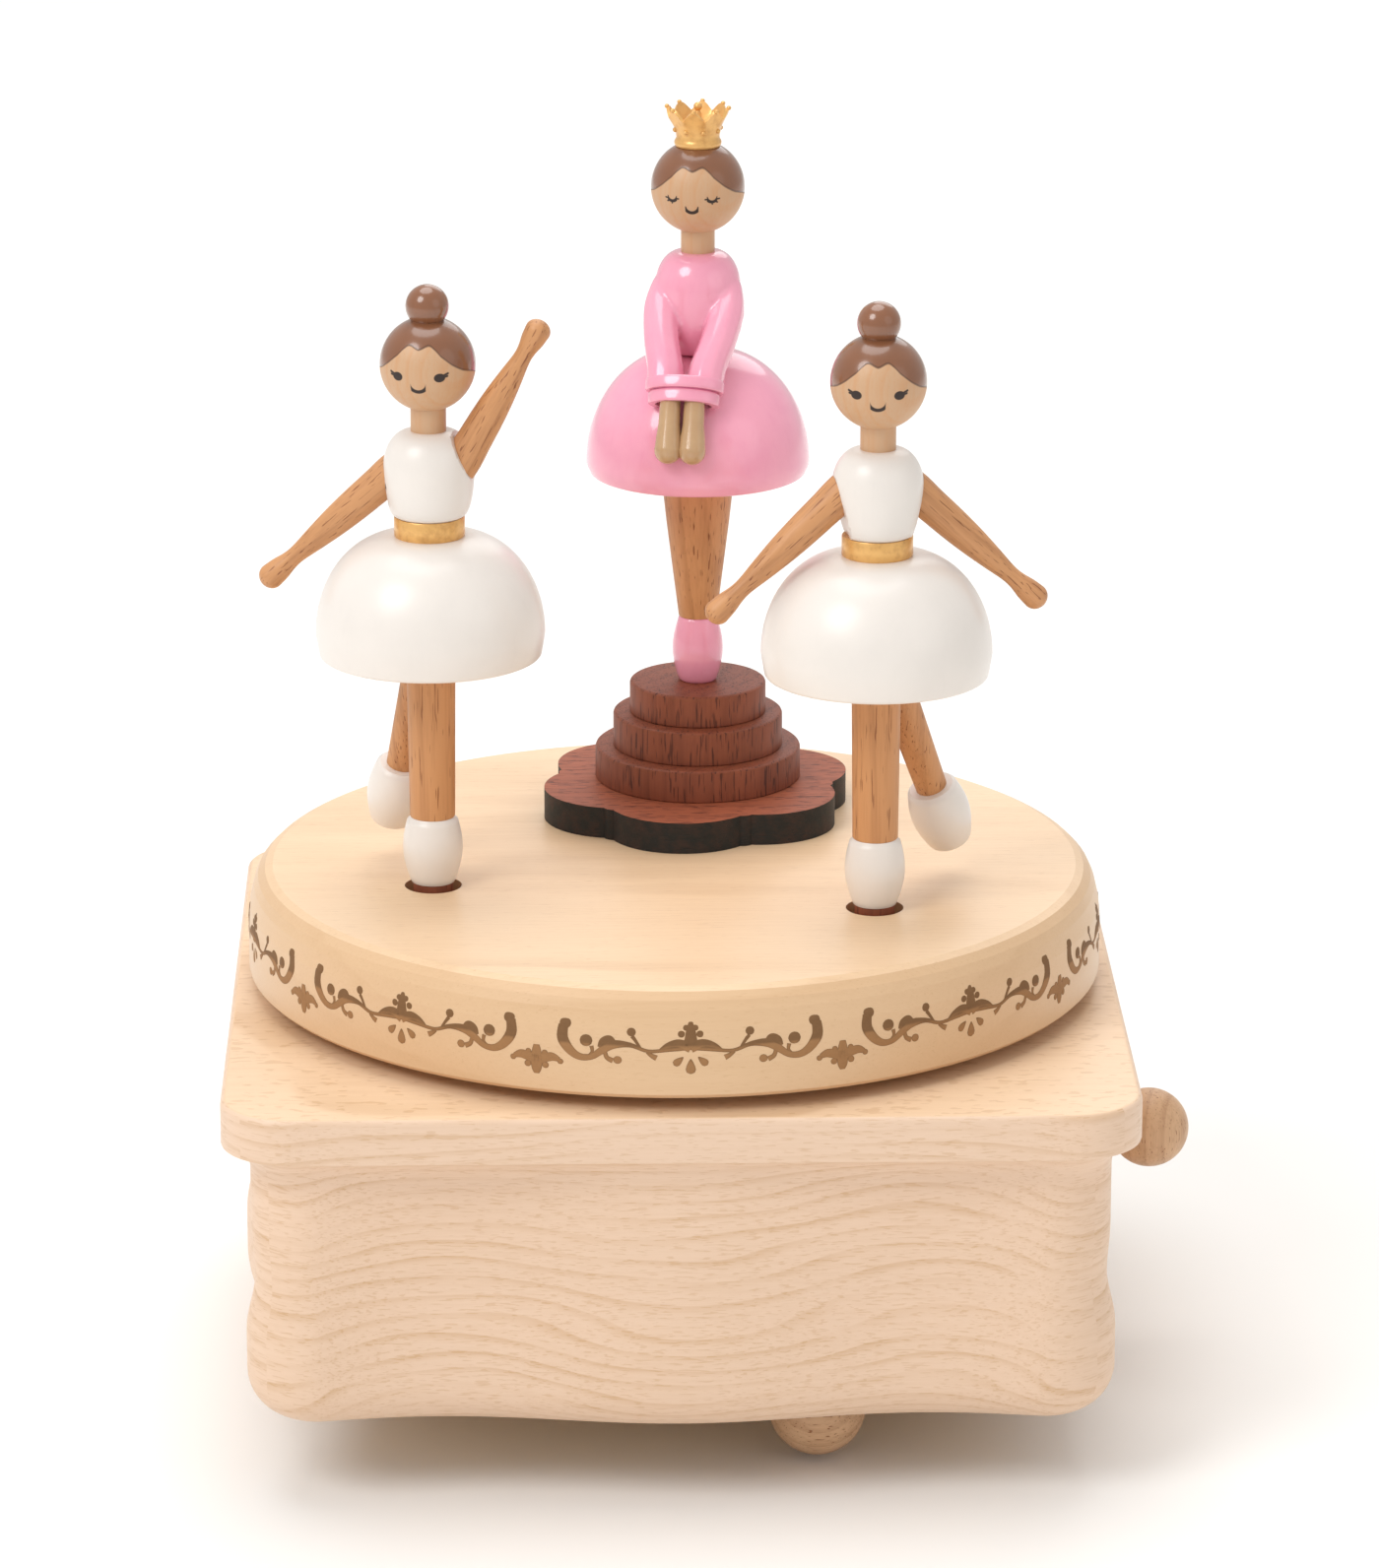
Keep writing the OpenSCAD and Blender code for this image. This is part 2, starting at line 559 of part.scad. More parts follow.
// A barrel-shaped slipper, open at the bottom for the peg
module shoe(bored) difference() {
  rotate_extrude() polygon(concat([[0, 0]],
    [for (i = [0:8]) [3.1 + 0.95 * sin(180 * i / 8 - 4) + 0.25 * i / 8, shoe_h * i / 8]], [[0, shoe_h]]));
  if (bored) translate([0, 0, -1]) cylinder(d = peg_d, h = 1 + 4.6 - shoe_z);
}

// The raised foot hangs at the end of the raised leg
module at_ankle(lift) translate(lift) rotate(leg_lean(lift)) children();
function leg_lean(p) = let (v = hip - p) [-atan2(v[1], sqrt(v[0] * v[0] + v[2] * v[2])), atan2(v[0], v[2]), 0];

module shoes(lift) color("white") {
  translate([0, 0, shoe_z]) shoe(true);
  at_ankle(lift) translate([0, 0, -shoe_h + 0.6]) shoe(false);
}

module standing_leg() color("peru") rotate_extrude() polygon([[0, shoe_z + shoe_h], [3.15, shoe_z + shoe_h],
  [3.45, leg_top], [0, leg_top]]);

module raised_leg(lift) color("peru") difference() {
  at_ankle(lift) translate([0, 0, 0.6]) cylinder(r1 = 2.2, r2 = 2.9, h = norm(hip - lift) + 4);
  translate([-20, -20, leg_top]) cube([40, 40, 20]);
  cylinder(r = 3.46, h = 40);
}

module skirt() color("white")
  rotate_extrude() polygon(concat([[0, leg_top], [12.9, leg_top], [13.4, skirt_z]],
    dome(skirt_d / 2, skirt_z, skirt_top, 4.9, 3.2), [[0, skirt_top]]));

module belt() color("gold") translate([0, 0, skirt_top]) cylinder(d = 9.8, h = belt_h);

module torso_form() rotate_extrude() polygon(concat([[0, torso_z]],
  egg(4.75, torso_z, 6.3, 60.4, 2.75, torso_top), [[0, torso_top]]));

// The flat where an arm meets the torso: side, lean of the flat, height and distance out
module arm_cut(c) let (side = c[0]) translate([side * c[3], 0, c[2]]) rotate([0, side * c[1], 0])
  translate([side > 0 ? 0 : -60, -30, -30]) cube([60, 60, 60]);

module torso(cuts) color("white") difference() {
  torso_form();
  translate([0, 0, 61]) cylinder(d = 4.9, h = 10);
  for (c = cuts) arm_cut(c);
}

// An arm runs from the shoulder to the fingertips and ends flat against the torso
module arm(cut, shoulder, palm) color("peru") intersection() {
  v = palm - shoulder;
  length = norm(v);
  translate(shoulder) rotate([0, 0, atan2(v[1], v[0])]) rotate([0, acos(v[2] / length), 0]) rotate_extrude()
    polygon([[0, -4], [2.5, -4], [2.6, 0], [2.45, 3], [2.1, length * 0.45], [1.5, length * 0.68],
      [1.3, length * 0.76], [1.55, length * 0.84], [1.85, length * 0.92], [1.75, length * 0.97],
      [1.2, length * 1.0], [0, length * 1.015]]);
  arm_cut(cut);
}

module head() color("burlywood") difference() {
  union() {
    translate([0, 0, head_z]) sphere(d = head_d);
    translate([0, 0, 61]) cylinder(d = 4.9, h = 11);
  }
  translate([-10, -10, crown_cut]) cube([20, 20, 10]);
}

module bun() color("saddlebrown") difference() {
  translate([0, 0, bun_z]) sphere(r = bun_r);
  translate([-5, -5, crown_cut - 10]) cube([10, 10, 10]);
}

left_lift = [-6.4, 10.5, 13.9];
right_lift = [10.3, 10.5, 13.4];
left_up = [1, -25, 61.8, 5.1];
left_down = [-1, 8, 58.5, 5.6];
right_l = [-1, 14, 58.8, 5.4];
right_r = [1, 14, 58.8, 5.4];

module left_dancer() at_dancer(left_bearing, left_turn) children();
module right_dancer() at_dancer(right_bearing, right_turn) children();

// ---- nodes ------------------------------------------------------------

case_top();
case_walls();
bottom_board();
base_screws();
foot_frame();
drawer_guide();
sun_gear();
lid_bush();
drawer_box();
drawer_front();
drawer_knob();
drawer_lining();
bedplate();
movement_screws();
music_comb();
bearing_frame();
spring_barrel();
winding_arbor();
winding_knob();
pin_cylinder();
governor();
turntable();
spindle();
drive_gear();
peg_bushes();
pedestal_plaque();
tier(0);  // pedestal_tier_large
tier(1);  // pedestal_tier_middle
tier(2);  // pedestal_tier_small
queen_shoe();
queen_leg();
queen_skirt();
queen_bodice();
queen_hands();
queen_head();
queen_crown();
pinion(left_bearing);  // left_pinion
left_dancer() peg();  // left_peg
left_dancer() shoes(left_lift);  // left_shoes
left_dancer() standing_leg();  // left_standing_leg
left_dancer() raised_leg(left_lift);  // left_raised_leg
left_dancer() skirt();  // left_skirt
left_dancer() belt();  // left_belt
left_dancer() torso([left_up, left_down]);  // left_torso
left_dancer() arm(left_up, [5, -0.5, 62], [16.1, -0.5, 81.5]);  // left_raised_arm
left_dancer() arm(left_down, [-5, 0, 59.5], [-23.5, 0, 42.9]);  // left_lowered_arm
left_dancer() head();  // left_head
left_dancer() bun();  // left_bun
pinion(right_bearing);  // right_pinion
right_dancer() peg();  // right_peg
right_dancer() shoes(right_lift);  // right_shoes
right_dancer() standing_leg();  // right_standing_leg
right_dancer() raised_leg(right_lift);  // right_raised_leg
right_dancer() skirt();  // right_skirt
right_dancer() belt();  // right_belt
right_dancer() torso([right_l, right_r]);  // right_torso
right_dancer() arm(right_l, [-5, 0, 59.6], [-23.3, 0, 42.6]);  // right_left_arm
right_dancer() arm(right_r, [5, 0, 59.6], [23.3, 0, 42.6]);  // right_right_arm
right_dancer() head();  // right_head
right_dancer() bun();  // right_bun
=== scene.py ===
import json
from math import acos, asin, atan2, cos, degrees, hypot, pi, radians, sin, tau

import bpy
from mathutils import Matrix, Vector


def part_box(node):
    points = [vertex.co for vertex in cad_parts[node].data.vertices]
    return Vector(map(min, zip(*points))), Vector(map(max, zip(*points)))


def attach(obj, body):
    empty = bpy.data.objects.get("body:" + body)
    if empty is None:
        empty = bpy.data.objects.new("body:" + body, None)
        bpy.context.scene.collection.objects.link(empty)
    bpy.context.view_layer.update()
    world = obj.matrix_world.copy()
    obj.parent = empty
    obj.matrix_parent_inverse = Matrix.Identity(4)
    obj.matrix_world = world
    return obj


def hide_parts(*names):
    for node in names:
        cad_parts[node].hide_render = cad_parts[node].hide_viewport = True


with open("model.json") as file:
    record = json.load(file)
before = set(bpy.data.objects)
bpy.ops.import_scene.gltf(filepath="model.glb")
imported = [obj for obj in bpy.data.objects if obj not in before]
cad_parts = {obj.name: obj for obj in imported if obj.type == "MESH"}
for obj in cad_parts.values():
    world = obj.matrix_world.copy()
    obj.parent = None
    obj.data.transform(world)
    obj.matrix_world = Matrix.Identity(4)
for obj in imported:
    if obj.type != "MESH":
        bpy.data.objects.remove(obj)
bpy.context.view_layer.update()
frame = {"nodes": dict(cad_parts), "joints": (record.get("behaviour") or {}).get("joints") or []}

bl_info = {
    "name": "Wooden music box",
    "version": (1, 0, 0),
    "blender": (4, 5, 0),
    "location": "3D View > Sidebar > Music box",
    "description": "A turned wooden music box with dancers on a revolving stage",
    "category": "Object",
}

MM = 0.001


def srgb(red, green, blue):
    """A colour picked on a screen, as the linear values that a shader takes."""
    def linear(c):
        c /= 255
        return c / 12.92 if c <= 0.04045 else ((c + 0.055) / 1.055) ** 2.4
    return (linear(red), linear(green), linear(blue))


def shaded(colour, share):
    """A colour made darker, or lighter with a share above 1."""
    return tuple(c * share for c in colour)


# ---- places taken from the frame, in mm --------------------------------

def box(node):
    """A node's two corners."""
    return [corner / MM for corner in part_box(node)]


def heights(node, above=0.0):
    """The heights at which a node begins and ends, above some level."""
    low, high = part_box(node)
    return low.z / MM - above, high.z / MM - above


def axis_of(joint):
    """Where a joint's axis stands, in plan."""
    place = next(j["pos_m"] for j in frame["joints"] if j["name"] == joint)
    return Vector((place[0] / MM, place[1] / MM, 0))


def middle(node):
    """The middle of a node's box."""
    low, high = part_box(node)
    return (low + high) / 2 / MM


FLOOR_Z = heights("foot_frame")[0]
CASE_Z, SEAM_Z = heights("case_walls")
LID_Z, TOP_Z = heights("case_top")
LID_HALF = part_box("case_top")[1].x / MM
WALL_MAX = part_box("case_walls")[1].x / MM
STAGE_Z = heights("turntable")[1]
DISC_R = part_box("turntable")[1].x / MM


# ---- what a user would change ------------------------------------------

def colour(name, description, *screen):
    return bpy.props.FloatVectorProperty(
        name=name, description=description, subtype="COLOR", size=3, min=0, max=1, default=srgb(*screen))


def length(name, description, millimetres):
    return bpy.props.FloatProperty(
        name=name, description=description, unit="LENGTH", subtype="DISTANCE", default=millimetres * MM,
        min=0, precision=5)


def angle(name, description, degrees):
    return bpy.props.FloatProperty(
        name=name, description=description, unit="ROTATION", subtype="ANGLE", default=radians(degrees))


class MusicBoxSizes(bpy.types.PropertyGroup):
    """Sizes that the frame leaves open"""
    wall_swell: length("Wall swell", "Swell of the serpentine walls to each side of their mean", 1.7)
    wall_waist: length("Waist", "How far the walls draw in above their belly", 1.3)
    lower_edge: length("Lower edge", "Radius of the rounded lower edge of the case", 6.5)
    lid_corner: length("Lid corner", "Radius of the lid's corners in plan", 10)
    lid_edge: length("Lid edge", "Height of the lid's edge above its cove", 6.5)
    head_width: length("Head", "Diameter of a dancer's head", 13.2)
    crowned_head_width: length("Crowned head", "Diameter of the crowned dancer's head", 13.3)
    engraving_height: length("Engraving", "How far the burnt scrollwork stands off the wood", 0.045)
    left_turn: angle("Left dancer's turn", "How far the left dancer is turned from facing forwards", -10)
    right_turn: angle("Right dancer's turn", "How far the right dancer is turned", 9)
    crowned_turn: angle("Crowned dancer's turn", "How far the crowned dancer is turned", -10)


class MusicBoxColours(bpy.types.PropertyGroup):
    """Colours of the woods and paints"""
    disc_wood: colour("Disc wood", "Pale straight-grained wood of the turntable", 240, 208, 170)
    # painted shade: the disc's rounded edge is given a darker colour than its top
    disc_edge_shade: colour("Disc edge", "Rounded edge of the turntable", 222, 186, 146)
    # painted light: the lid's top is given a paler colour than its moulded edge, which takes the walls' colour
    lid_top_lit_wood: colour("Lid wood", "Top of the case", 240, 208, 174)
    case_wood: colour("Case wood", "Beech of the walls", 232, 202, 176)
    late_wood: colour("Late wood", "Darker lines of the pale woods", 205, 165, 122)
    knob_wood: colour("Knob wood", "Ball knobs", 212, 172, 134)
    board_wood: colour("Board wood", "Boards and drawer parts that seldom show", 222, 188, 140)
    limb_wood: colour("Limb wood", "Arms and legs", 206, 148, 98)
    limb_pores: colour("Limb pores", "Dark pores of the arms and legs", 138, 82, 44)
    face_wood: colour("Face wood", "Bare wood of the faces", 205, 166, 130)
    red_wood: colour("Red wood", "Open-pored wood of the pedestal", 146, 80, 54)
    red_pores: colour("Red pores", "Pores of the pedestal's wood", 84, 40, 26)
    char: colour("Char", "Burnt edge of the plaque", 30, 32, 31)
    engraving: colour("Engraving", "Burnt scrollwork", 168, 124, 82)
    hair: colour("Hair", "Brown hair paint", 140, 90, 60)
    ink: colour("Ink", "Eyes and mouth", 44, 28, 22)
    white: colour("White", "White paint of the dancers", 236, 229, 222)
    pink: colour("Pink", "Pink lacquer of the crowned dancer", 249, 168, 192)
    deep_pink: colour("Deep pink", "Lines of the cuffs", 226, 120, 164)
    hands: colour("Hands", "Tan lacquer of the joined hands", 200, 164, 122)
    gold: colour("Gold", "Gold paint of belts and crown", 238, 186, 112)
    felt: colour("Felt", "Felt in the drawer", 122, 30, 40)
    floor: colour("Floor", "Floor and backdrop", 250, 249, 247)


# ---- shaders -----------------------------------------------------------

class Value:
    """A socket of a shader, on which arithmetic adds Math nodes."""

    def __init__(self, shader, socket):
        self.shader = shader
        self.socket = socket

    def __abs__(self):
        return self.shader.math("ABSOLUTE", self)

    def __rsub__(self, other):
        return self.shader.math("SUBTRACT", other, self)

    def _arithmetic(operation):
        return lambda self, other: self.shader.math(operation, self, other)

    __add__ = __radd__ = _arithmetic("ADD")
    __mul__ = __rmul__ = _arithmetic("MULTIPLY")
    __sub__ = _arithmetic("SUBTRACT")
    __truediv__ = _arithmetic("DIVIDE")


class Shader:
    """One material: a Principled surface and the nodes that feed it."""

    def __init__(self, name):
        self.material = bpy.data.materials.new(name)
        self.material.use_nodes = True
        self.tree = self.material.node_tree
        self.tree.nodes.clear()
        self.surface = self.tree.nodes.new("ShaderNodeBsdfPrincipled")
        output = self.tree.nodes.new("ShaderNodeOutputMaterial")
        self.tree.links.new(self.surface.outputs[0], output.inputs[0])
        self._coordinates = None

    def put(self, socket, value):
        if isinstance(value, Value):
            value = value.socket
        if isinstance(value, bpy.types.NodeSocket):
            self.tree.links.new(value, socket)
        elif hasattr(value, "__len__") and len(socket.default_value) == 4:
            socket.default_value = (*value[:3], 1)
        else:
            socket.default_value = value

    def node(self, kind, settings=None, sockets=None, output=0):
        """Adds one node: its settings first, then the values or links of its sockets."""
        node = self.tree.nodes.new("ShaderNode" + kind)
        for name, value in (settings or {}).items():
            if name == "stops":
                self._stops(node.color_ramp, value)
            else:
                setattr(node, name, value)
        for name, value in (sockets or {}).items():
            self.put(node.inputs[name], value)
        return Value(self, node.outputs[output])

    def _stops(self, ramp, stops):
        ramp.interpolation = "B_SPLINE"
        while len(ramp.elements) < len(stops):
            ramp.elements.new(1)
        for element, (place, shade) in zip(ramp.elements, stops):
            element.position = place
            element.color = (shade, shade, shade, 1)

    def math(self, operation, *values):
        return self.node("Math", {"operation": operation}, dict(enumerate(values)))

    def most(self, first, second):
        return self.math("MAXIMUM", first, second)

    def share(self, value):
        """A value held between 0 and 1."""
        return self.math("MINIMUM", self.most(value, 0.0), 1.0)

    def ramp(self, value, stops):
        """A smooth curve near (place, height) stops."""
        return self.node("ValToRGB", {"stops": stops}, {0: value})

    def step(self, value, low, high):
        """0 below low, 1 above high, and a soft edge between them; low may be the larger."""
        return self.node("MapRange", {"interpolation_type": "SMOOTHSTEP", "clamp": True},
                         {0: value, 1: low, 2: high, 3: 0.0, 4: 1.0})

    def mix(self, amount, first, second):
        """Two colours mixed by amount."""
        node = self.tree.nodes.new("ShaderNodeMix")
        node.data_type = "RGBA"
        self.put(node.inputs[0], amount)
        self.put(node.inputs[6], first)
        self.put(node.inputs[7], second)
        return Value(self, node.outputs[2])

    def place(self, turn=0.0, centre=(0, 0, 0)):
        """Object coordinates in mm, from a centre in mm and turned about Z: x, y and z."""
        if self._coordinates is None:
            self._coordinates = self.node("TexCoord", output="Object")
        back = Matrix.Rotation(-turn, 3, "Z") @ Vector(centre)
        mapped = self.node("Mapping", {"vector_type": "POINT"}, {
            0: self._coordinates, 1: tuple(-back), 2: (0, 0, -turn), 3: (1 / MM,) * 3})
        split = self.tree.nodes.new("ShaderNodeSeparateXYZ")
        self.put(split.inputs[0], mapped)
        return [Value(self, s) for s in split.outputs]

    def noise(self, place, scale=1.0, detail=2.0, roughness=0.5):
        return self.node("TexNoise", None, {
            "Vector": self.node("CombineXYZ", None, dict(enumerate(place))), "Scale": scale,
            "Detail": detail, "Roughness": roughness})

    def streaks(self, place, scales, detail=2.0, roughness=0.5):
        """Noise drawn out by a scale of its own along each of three axes."""
        return self.noise([p * k for p, k in zip(place, scales)], 1.0, detail, roughness)

    def facing(self, component):
        """A component of the normal, in the piece's own frame: 0 is X and 2 is Z."""
        split = self.tree.nodes.new("ShaderNodeSeparateXYZ")
        self.put(split.inputs[0], self.node("TexCoord", output="Normal"))
        return Value(self, split.outputs[component])

    def bump(self, height, distance, strength=1.0):
        """Relief from a height of 0 to 1 that stands for a distance in mm."""
        return self.node("Bump", None, {"Height": height, "Strength": strength, "Distance": distance * MM})

    def finish(self, **sockets):
        """Sets the surface's sockets, by their names in lower case or by the short names below."""
        names = {"color": "Base Color", "coat": "Coat Weight", "coat_roughness": "Coat Roughness",
                 "specular": "Specular IOR Level", "sheen": "Sheen Weight"}
        for name, value in sockets.items():
            self.put(self.surface.inputs[names.get(name, name.capitalize())], value)
        return self.material


def grained(sh, place, pith, spacing, waver=1.0):
    """Growth rings about a pith that lies off the piece, as a share of the late wood, and a fine fibre. The
    place is (along, across, up), as in the two functions below."""
    slow = sh.streaks(place, (0.012, 0.05, 0.05))
    depth, height = place[1] - pith[0], place[2] - pith[1]
    radius = sh.math("SQRT", depth * depth + height * height) + slow * (9.0 * waver)
    phase = sh.math("FRACT", radius / spacing)
    late = sh.step(phase, 0.5, 0.92) * sh.step(phase, 1.0, 0.93)
    fibre = sh.streaks(place, (0.07, 2.4, 2.4), 4.0, 0.65)
    return late, fibre


def flecks(sh, place, length_mm, width_mm, share):
    """Short dark dashes along the grain; share is about how much of the surface they take."""
    along, across, up = place
    dashes = sh.noise((along / length_mm, across / width_mm, up / width_mm), 1.0, 1.0, 0.4)
    return sh.step(dashes, 0.70 - share, 0.76 - share)


def pale_wood(name, base, late_colour, pith, spacing, contrast, dashes, gloss, coat=0.15, mitred=False,
              side=None):
    """A close-grained pale wood under thin satin lacquer, its grain along X or, mitred, round the box; its
    upright faces may take a darker colour, side, as painted shade that leaves the top paler."""
    sh = Shader(name)
    x, y, z = sh.place()
    if side is not None:
        # painted shade: faces that are not turned up take the darker side colour, and the top keeps the paler
        # base
        base = sh.mix(sh.step(sh.facing(2), 0.80, 0.97), side, base)
    if mitred:
        at_side = sh.step(abs(x) - abs(y), 0.0, 0.01)
        along = x + (y - x) * at_side + at_side * 200.0
        across = sh.math("POWER", sh.math("POWER", abs(x), 8.0) + sh.math("POWER", abs(y), 8.0), 0.125)
        if side is not None:
            flat = sh.step(sh.facing(2), 0.90, 0.97)
            along, across = along + (x - along) * flat, across + (y * 0.25 - across) * flat
    else:
        along, across = x, y
    place = (along, across, z)
    late, fibre = grained(sh, place, pith, spacing)
    pores = flecks(sh, place, 2.2, 0.22, dashes)
    cloud = sh.streaks(place, (0.02, 0.06, 0.06), 3.0)
    fade = sh.streaks(place, (0.03, 0.2, 0.3))
    tone = (late * contrast * sh.step(fade, 0.25, 0.75) + sh.step(fibre, 0.35, 0.75) * 0.16 + pores * 0.34
            + (cloud - 0.5) * 0.22)
    tint = sh.mix(sh.share(tone), base, late_colour)
    relief = sh.bump(fibre * 0.5 - pores * 0.6, 0.05, 0.35)
    return sh.finish(color=tint, roughness=fibre * 0.12 + (gloss - 0.05), coat=coat, coat_roughness=0.3,
                     normal=relief, specular=0.4)


# the pith of the case's wood, in mm from its middle, and the width of its growth rings
RINGS = ((0, -17), 1.7)


def beech(name, colours):
    """The wood of the walls."""
    return pale_wood(name, colours.case_wood, colours.late_wood, *RINGS, 0.5, 0.11, 0.5, 0.08, mitred=True)


def open_wood(name, base, pore_colour, centre=(0, 0, 0), turn=0.0, grain="Z", length_mm=5.0, width_mm=0.34,
              share=0.06, gloss=0.5, burnt=None, streak=0.55):
    """An open-pored wood with long dark pores; burnt darkens the far side and the edges."""
    sh = Shader(name)
    x, y, z = sh.place(turn, centre)
    place = {"Z": (z, x, y), "X": (x, y, z)}[grain]
    late, fibre = grained(sh, place, (-30, 22), 2.6, 0.6)
    pores = flecks(sh, place, length_mm, width_mm, share)
    band = sh.streaks(place, (0.06, 0.55, 0.55), 3.0, 0.6)
    tone = pores * 0.75 + late * 0.2 + sh.step(fibre, 0.4, 0.7) * 0.18 + (band - 0.5) * streak
    tint = sh.mix(sh.share(tone), base, pore_colour)
    if burnt is not None:
        tint = sh.mix(burnt[1](sh), tint, burnt[0])
    relief = sh.bump(fibre * 0.4 - pores, 0.12, 0.5)
    return sh.finish(color=tint, roughness=fibre * 0.15 + (gloss - 0.05), normal=relief, coat=0.12,
                     coat_roughness=0.35, specular=0.35)


def limb_wood(name, colours, centre, turn=0.0, share=0.055):
    """The wood of the legs, about an axis."""
    return open_wood(name, colours.limb_wood, colours.limb_pores, (centre.x, centre.y, 0), turn, "Z", 4.5, 0.26,
                     share)


def painted(name, base, shadow, roughness, coat, coat_roughness=0.15, peel=0.02):
    """Sprayed paint over turned wood: a soft peel, and the grain just showing through."""
    sh = Shader(name)
    x, y, z = sh.place()
    soft = sh.noise((x, y, z), 0.16, 3.0, 0.55)
    grain = sh.streaks((x, y, z), (1.6, 1.6, 0.14), 3.0, 0.6)
    fine = sh.noise((x, y, z), 2.6, 2.0)
    tone = sh.step(soft, 0.35, 0.8) * 0.22 + sh.step(grain, 0.5, 0.85) * 0.10
    relief = sh.bump(fine * 0.6 + grain * 0.4, peel, 0.5)
    return sh.finish(color=sh.mix(tone, base, shadow), roughness=soft * 0.1 + (roughness - 0.05), coat=coat,
                     coat_roughness=coat_roughness, normal=relief)


def metal(name, base, stain, roughness):
    """A brushed metal with faint handling stains."""
    sh = Shader(name)
    x, y, z = sh.place()
    lines = sh.streaks((x, y, z), (0.15, 4.0, 4.0), 3.0, 0.6)
    marks = sh.noise((x, y, z), 0.12, 4.0, 0.6)
    return sh.finish(color=sh.mix(sh.step(marks, 0.45, 0.75) * 0.45, base, stain), metallic=1.0,
                     roughness=lines * 0.2 + (roughness - 0.1), normal=sh.bump(lines, 0.02, 0.3))


def gilt(name, gold):
    """Gold paint, thin and a little brown in random patches."""
    sh = Shader(name)
    x, y, z = sh.place()
    cloud = sh.noise((x, y, z), 0.7, 4.0, 0.6)
    fine = sh.noise((x, y, z), 4.0, 2.0)
    brown = tuple(c * k for c, k in zip(gold, (0.62, 0.5, 0.4)))
    return sh.finish(color=sh.mix(sh.step(cloud, 0.4, 0.75) * 0.6, gold, brown), metallic=0.35,
                     roughness=cloud * 0.2 + 0.25, coat=0.2, normal=sh.bump(fine, 0.03, 0.4))


def felt(name, base):
    """Matt, fluffy cloth."""
    sh = Shader(name)
    x, y, z = sh.place()
    fluff = sh.noise((x, y, z), 2.2, 5.0, 0.7)
    clumps = sh.noise((x, y, z), 0.35, 3.0)
    return sh.finish(color=sh.mix(fluff * 0.6 + clumps * 0.3, base, shaded(base, 0.45)), roughness=0.95,
                     sheen=0.4, normal=sh.bump(fluff, 0.25, 0.8), specular=0.2)


def scroll_paint(name, burnt, depth):
    """Scorched wood: darker at the rim of each stroke, where its relief is lowest."""
    sh = Shader(name)
    x, y, z = sh.place()
    radius = sh.math("SQRT", x * x + y * y)
    crest = sh.step(radius, DISC_R + 0.1 * depth / MM, DISC_R + 0.85 * depth / MM)
    soot = sh.noise((x, y, z), 1.7, 3.0)
    lines = sh.streaks((x, y, z), (0.2, 0.2, 7), 1.0)
    tone = (1 - crest) * 0.75 + soot * 0.3 + lines * 0.15
    return sh.finish(color=sh.mix(sh.math("MINIMUM", tone, 1.0), burnt, shaded(burnt, 0.52)), roughness=0.7,
                     specular=0.25)


def stroke(sh, u, v, start, end, half, soft=0.07):
    """A straight ink stroke from start to end on the face, half as wide to each side."""
    run = (end[0] - start[0], end[1] - start[1])
    square = run[0] ** 2 + run[1] ** 2
    along = ((u - start[0]) * run[0] + (v - start[1]) * run[1]) / square
    along = sh.share(along)
    du = u - start[0] - along * run[0]
    dv = v - start[1] - along * run[1]
    return sh.step(sh.math("SQRT", du * du + dv * dv), half + soft, half - soft)


def arc(sh, u, v, centre, radius, half, reach, soft=0.07):
    """The lower part of a circle drawn in ink, out to reach on each side of its middle."""
    du, dv = u - centre[0], v - centre[1]
    away = abs(sh.math("SQRT", du * du + dv * dv) - radius)
    inside = sh.step(abs(du), reach + soft, reach - soft) * sh.step(dv, 0.0, -0.2)
    return sh.step(away, half + soft, half - soft) * inside


# how far the features sit below the middle of the head
FACE_DROP = 0.35
# the hairline's height by bearing, from the parting round to the nape, both from 0 to 1
HAIRLINE = ((0.0, 0.745), (0.035, 0.765), (0.075, 0.795), (0.11, 0.775), (0.16, 0.69), (0.24, 0.58),
            (0.33, 0.51), (0.47, 0.465), (0.62, 0.40), (0.80, 0.31), (1.0, 0.28))
# the lashes: strokes from one place to another on the right half of the face
CLOSED_LASHES = (((3.5, -0.15), (4.05, -0.1)), ((3.3, -0.4), (3.75, -0.6)), ((2.35, -0.15), (1.95, -0.15)),
                 ((2.9, -0.5), (3.0, -0.85)))
OPEN_LASHES = (((3.3, 0.05), (4.25, 0.42)), ((3.4, -0.1), (4.15, 0.05)))


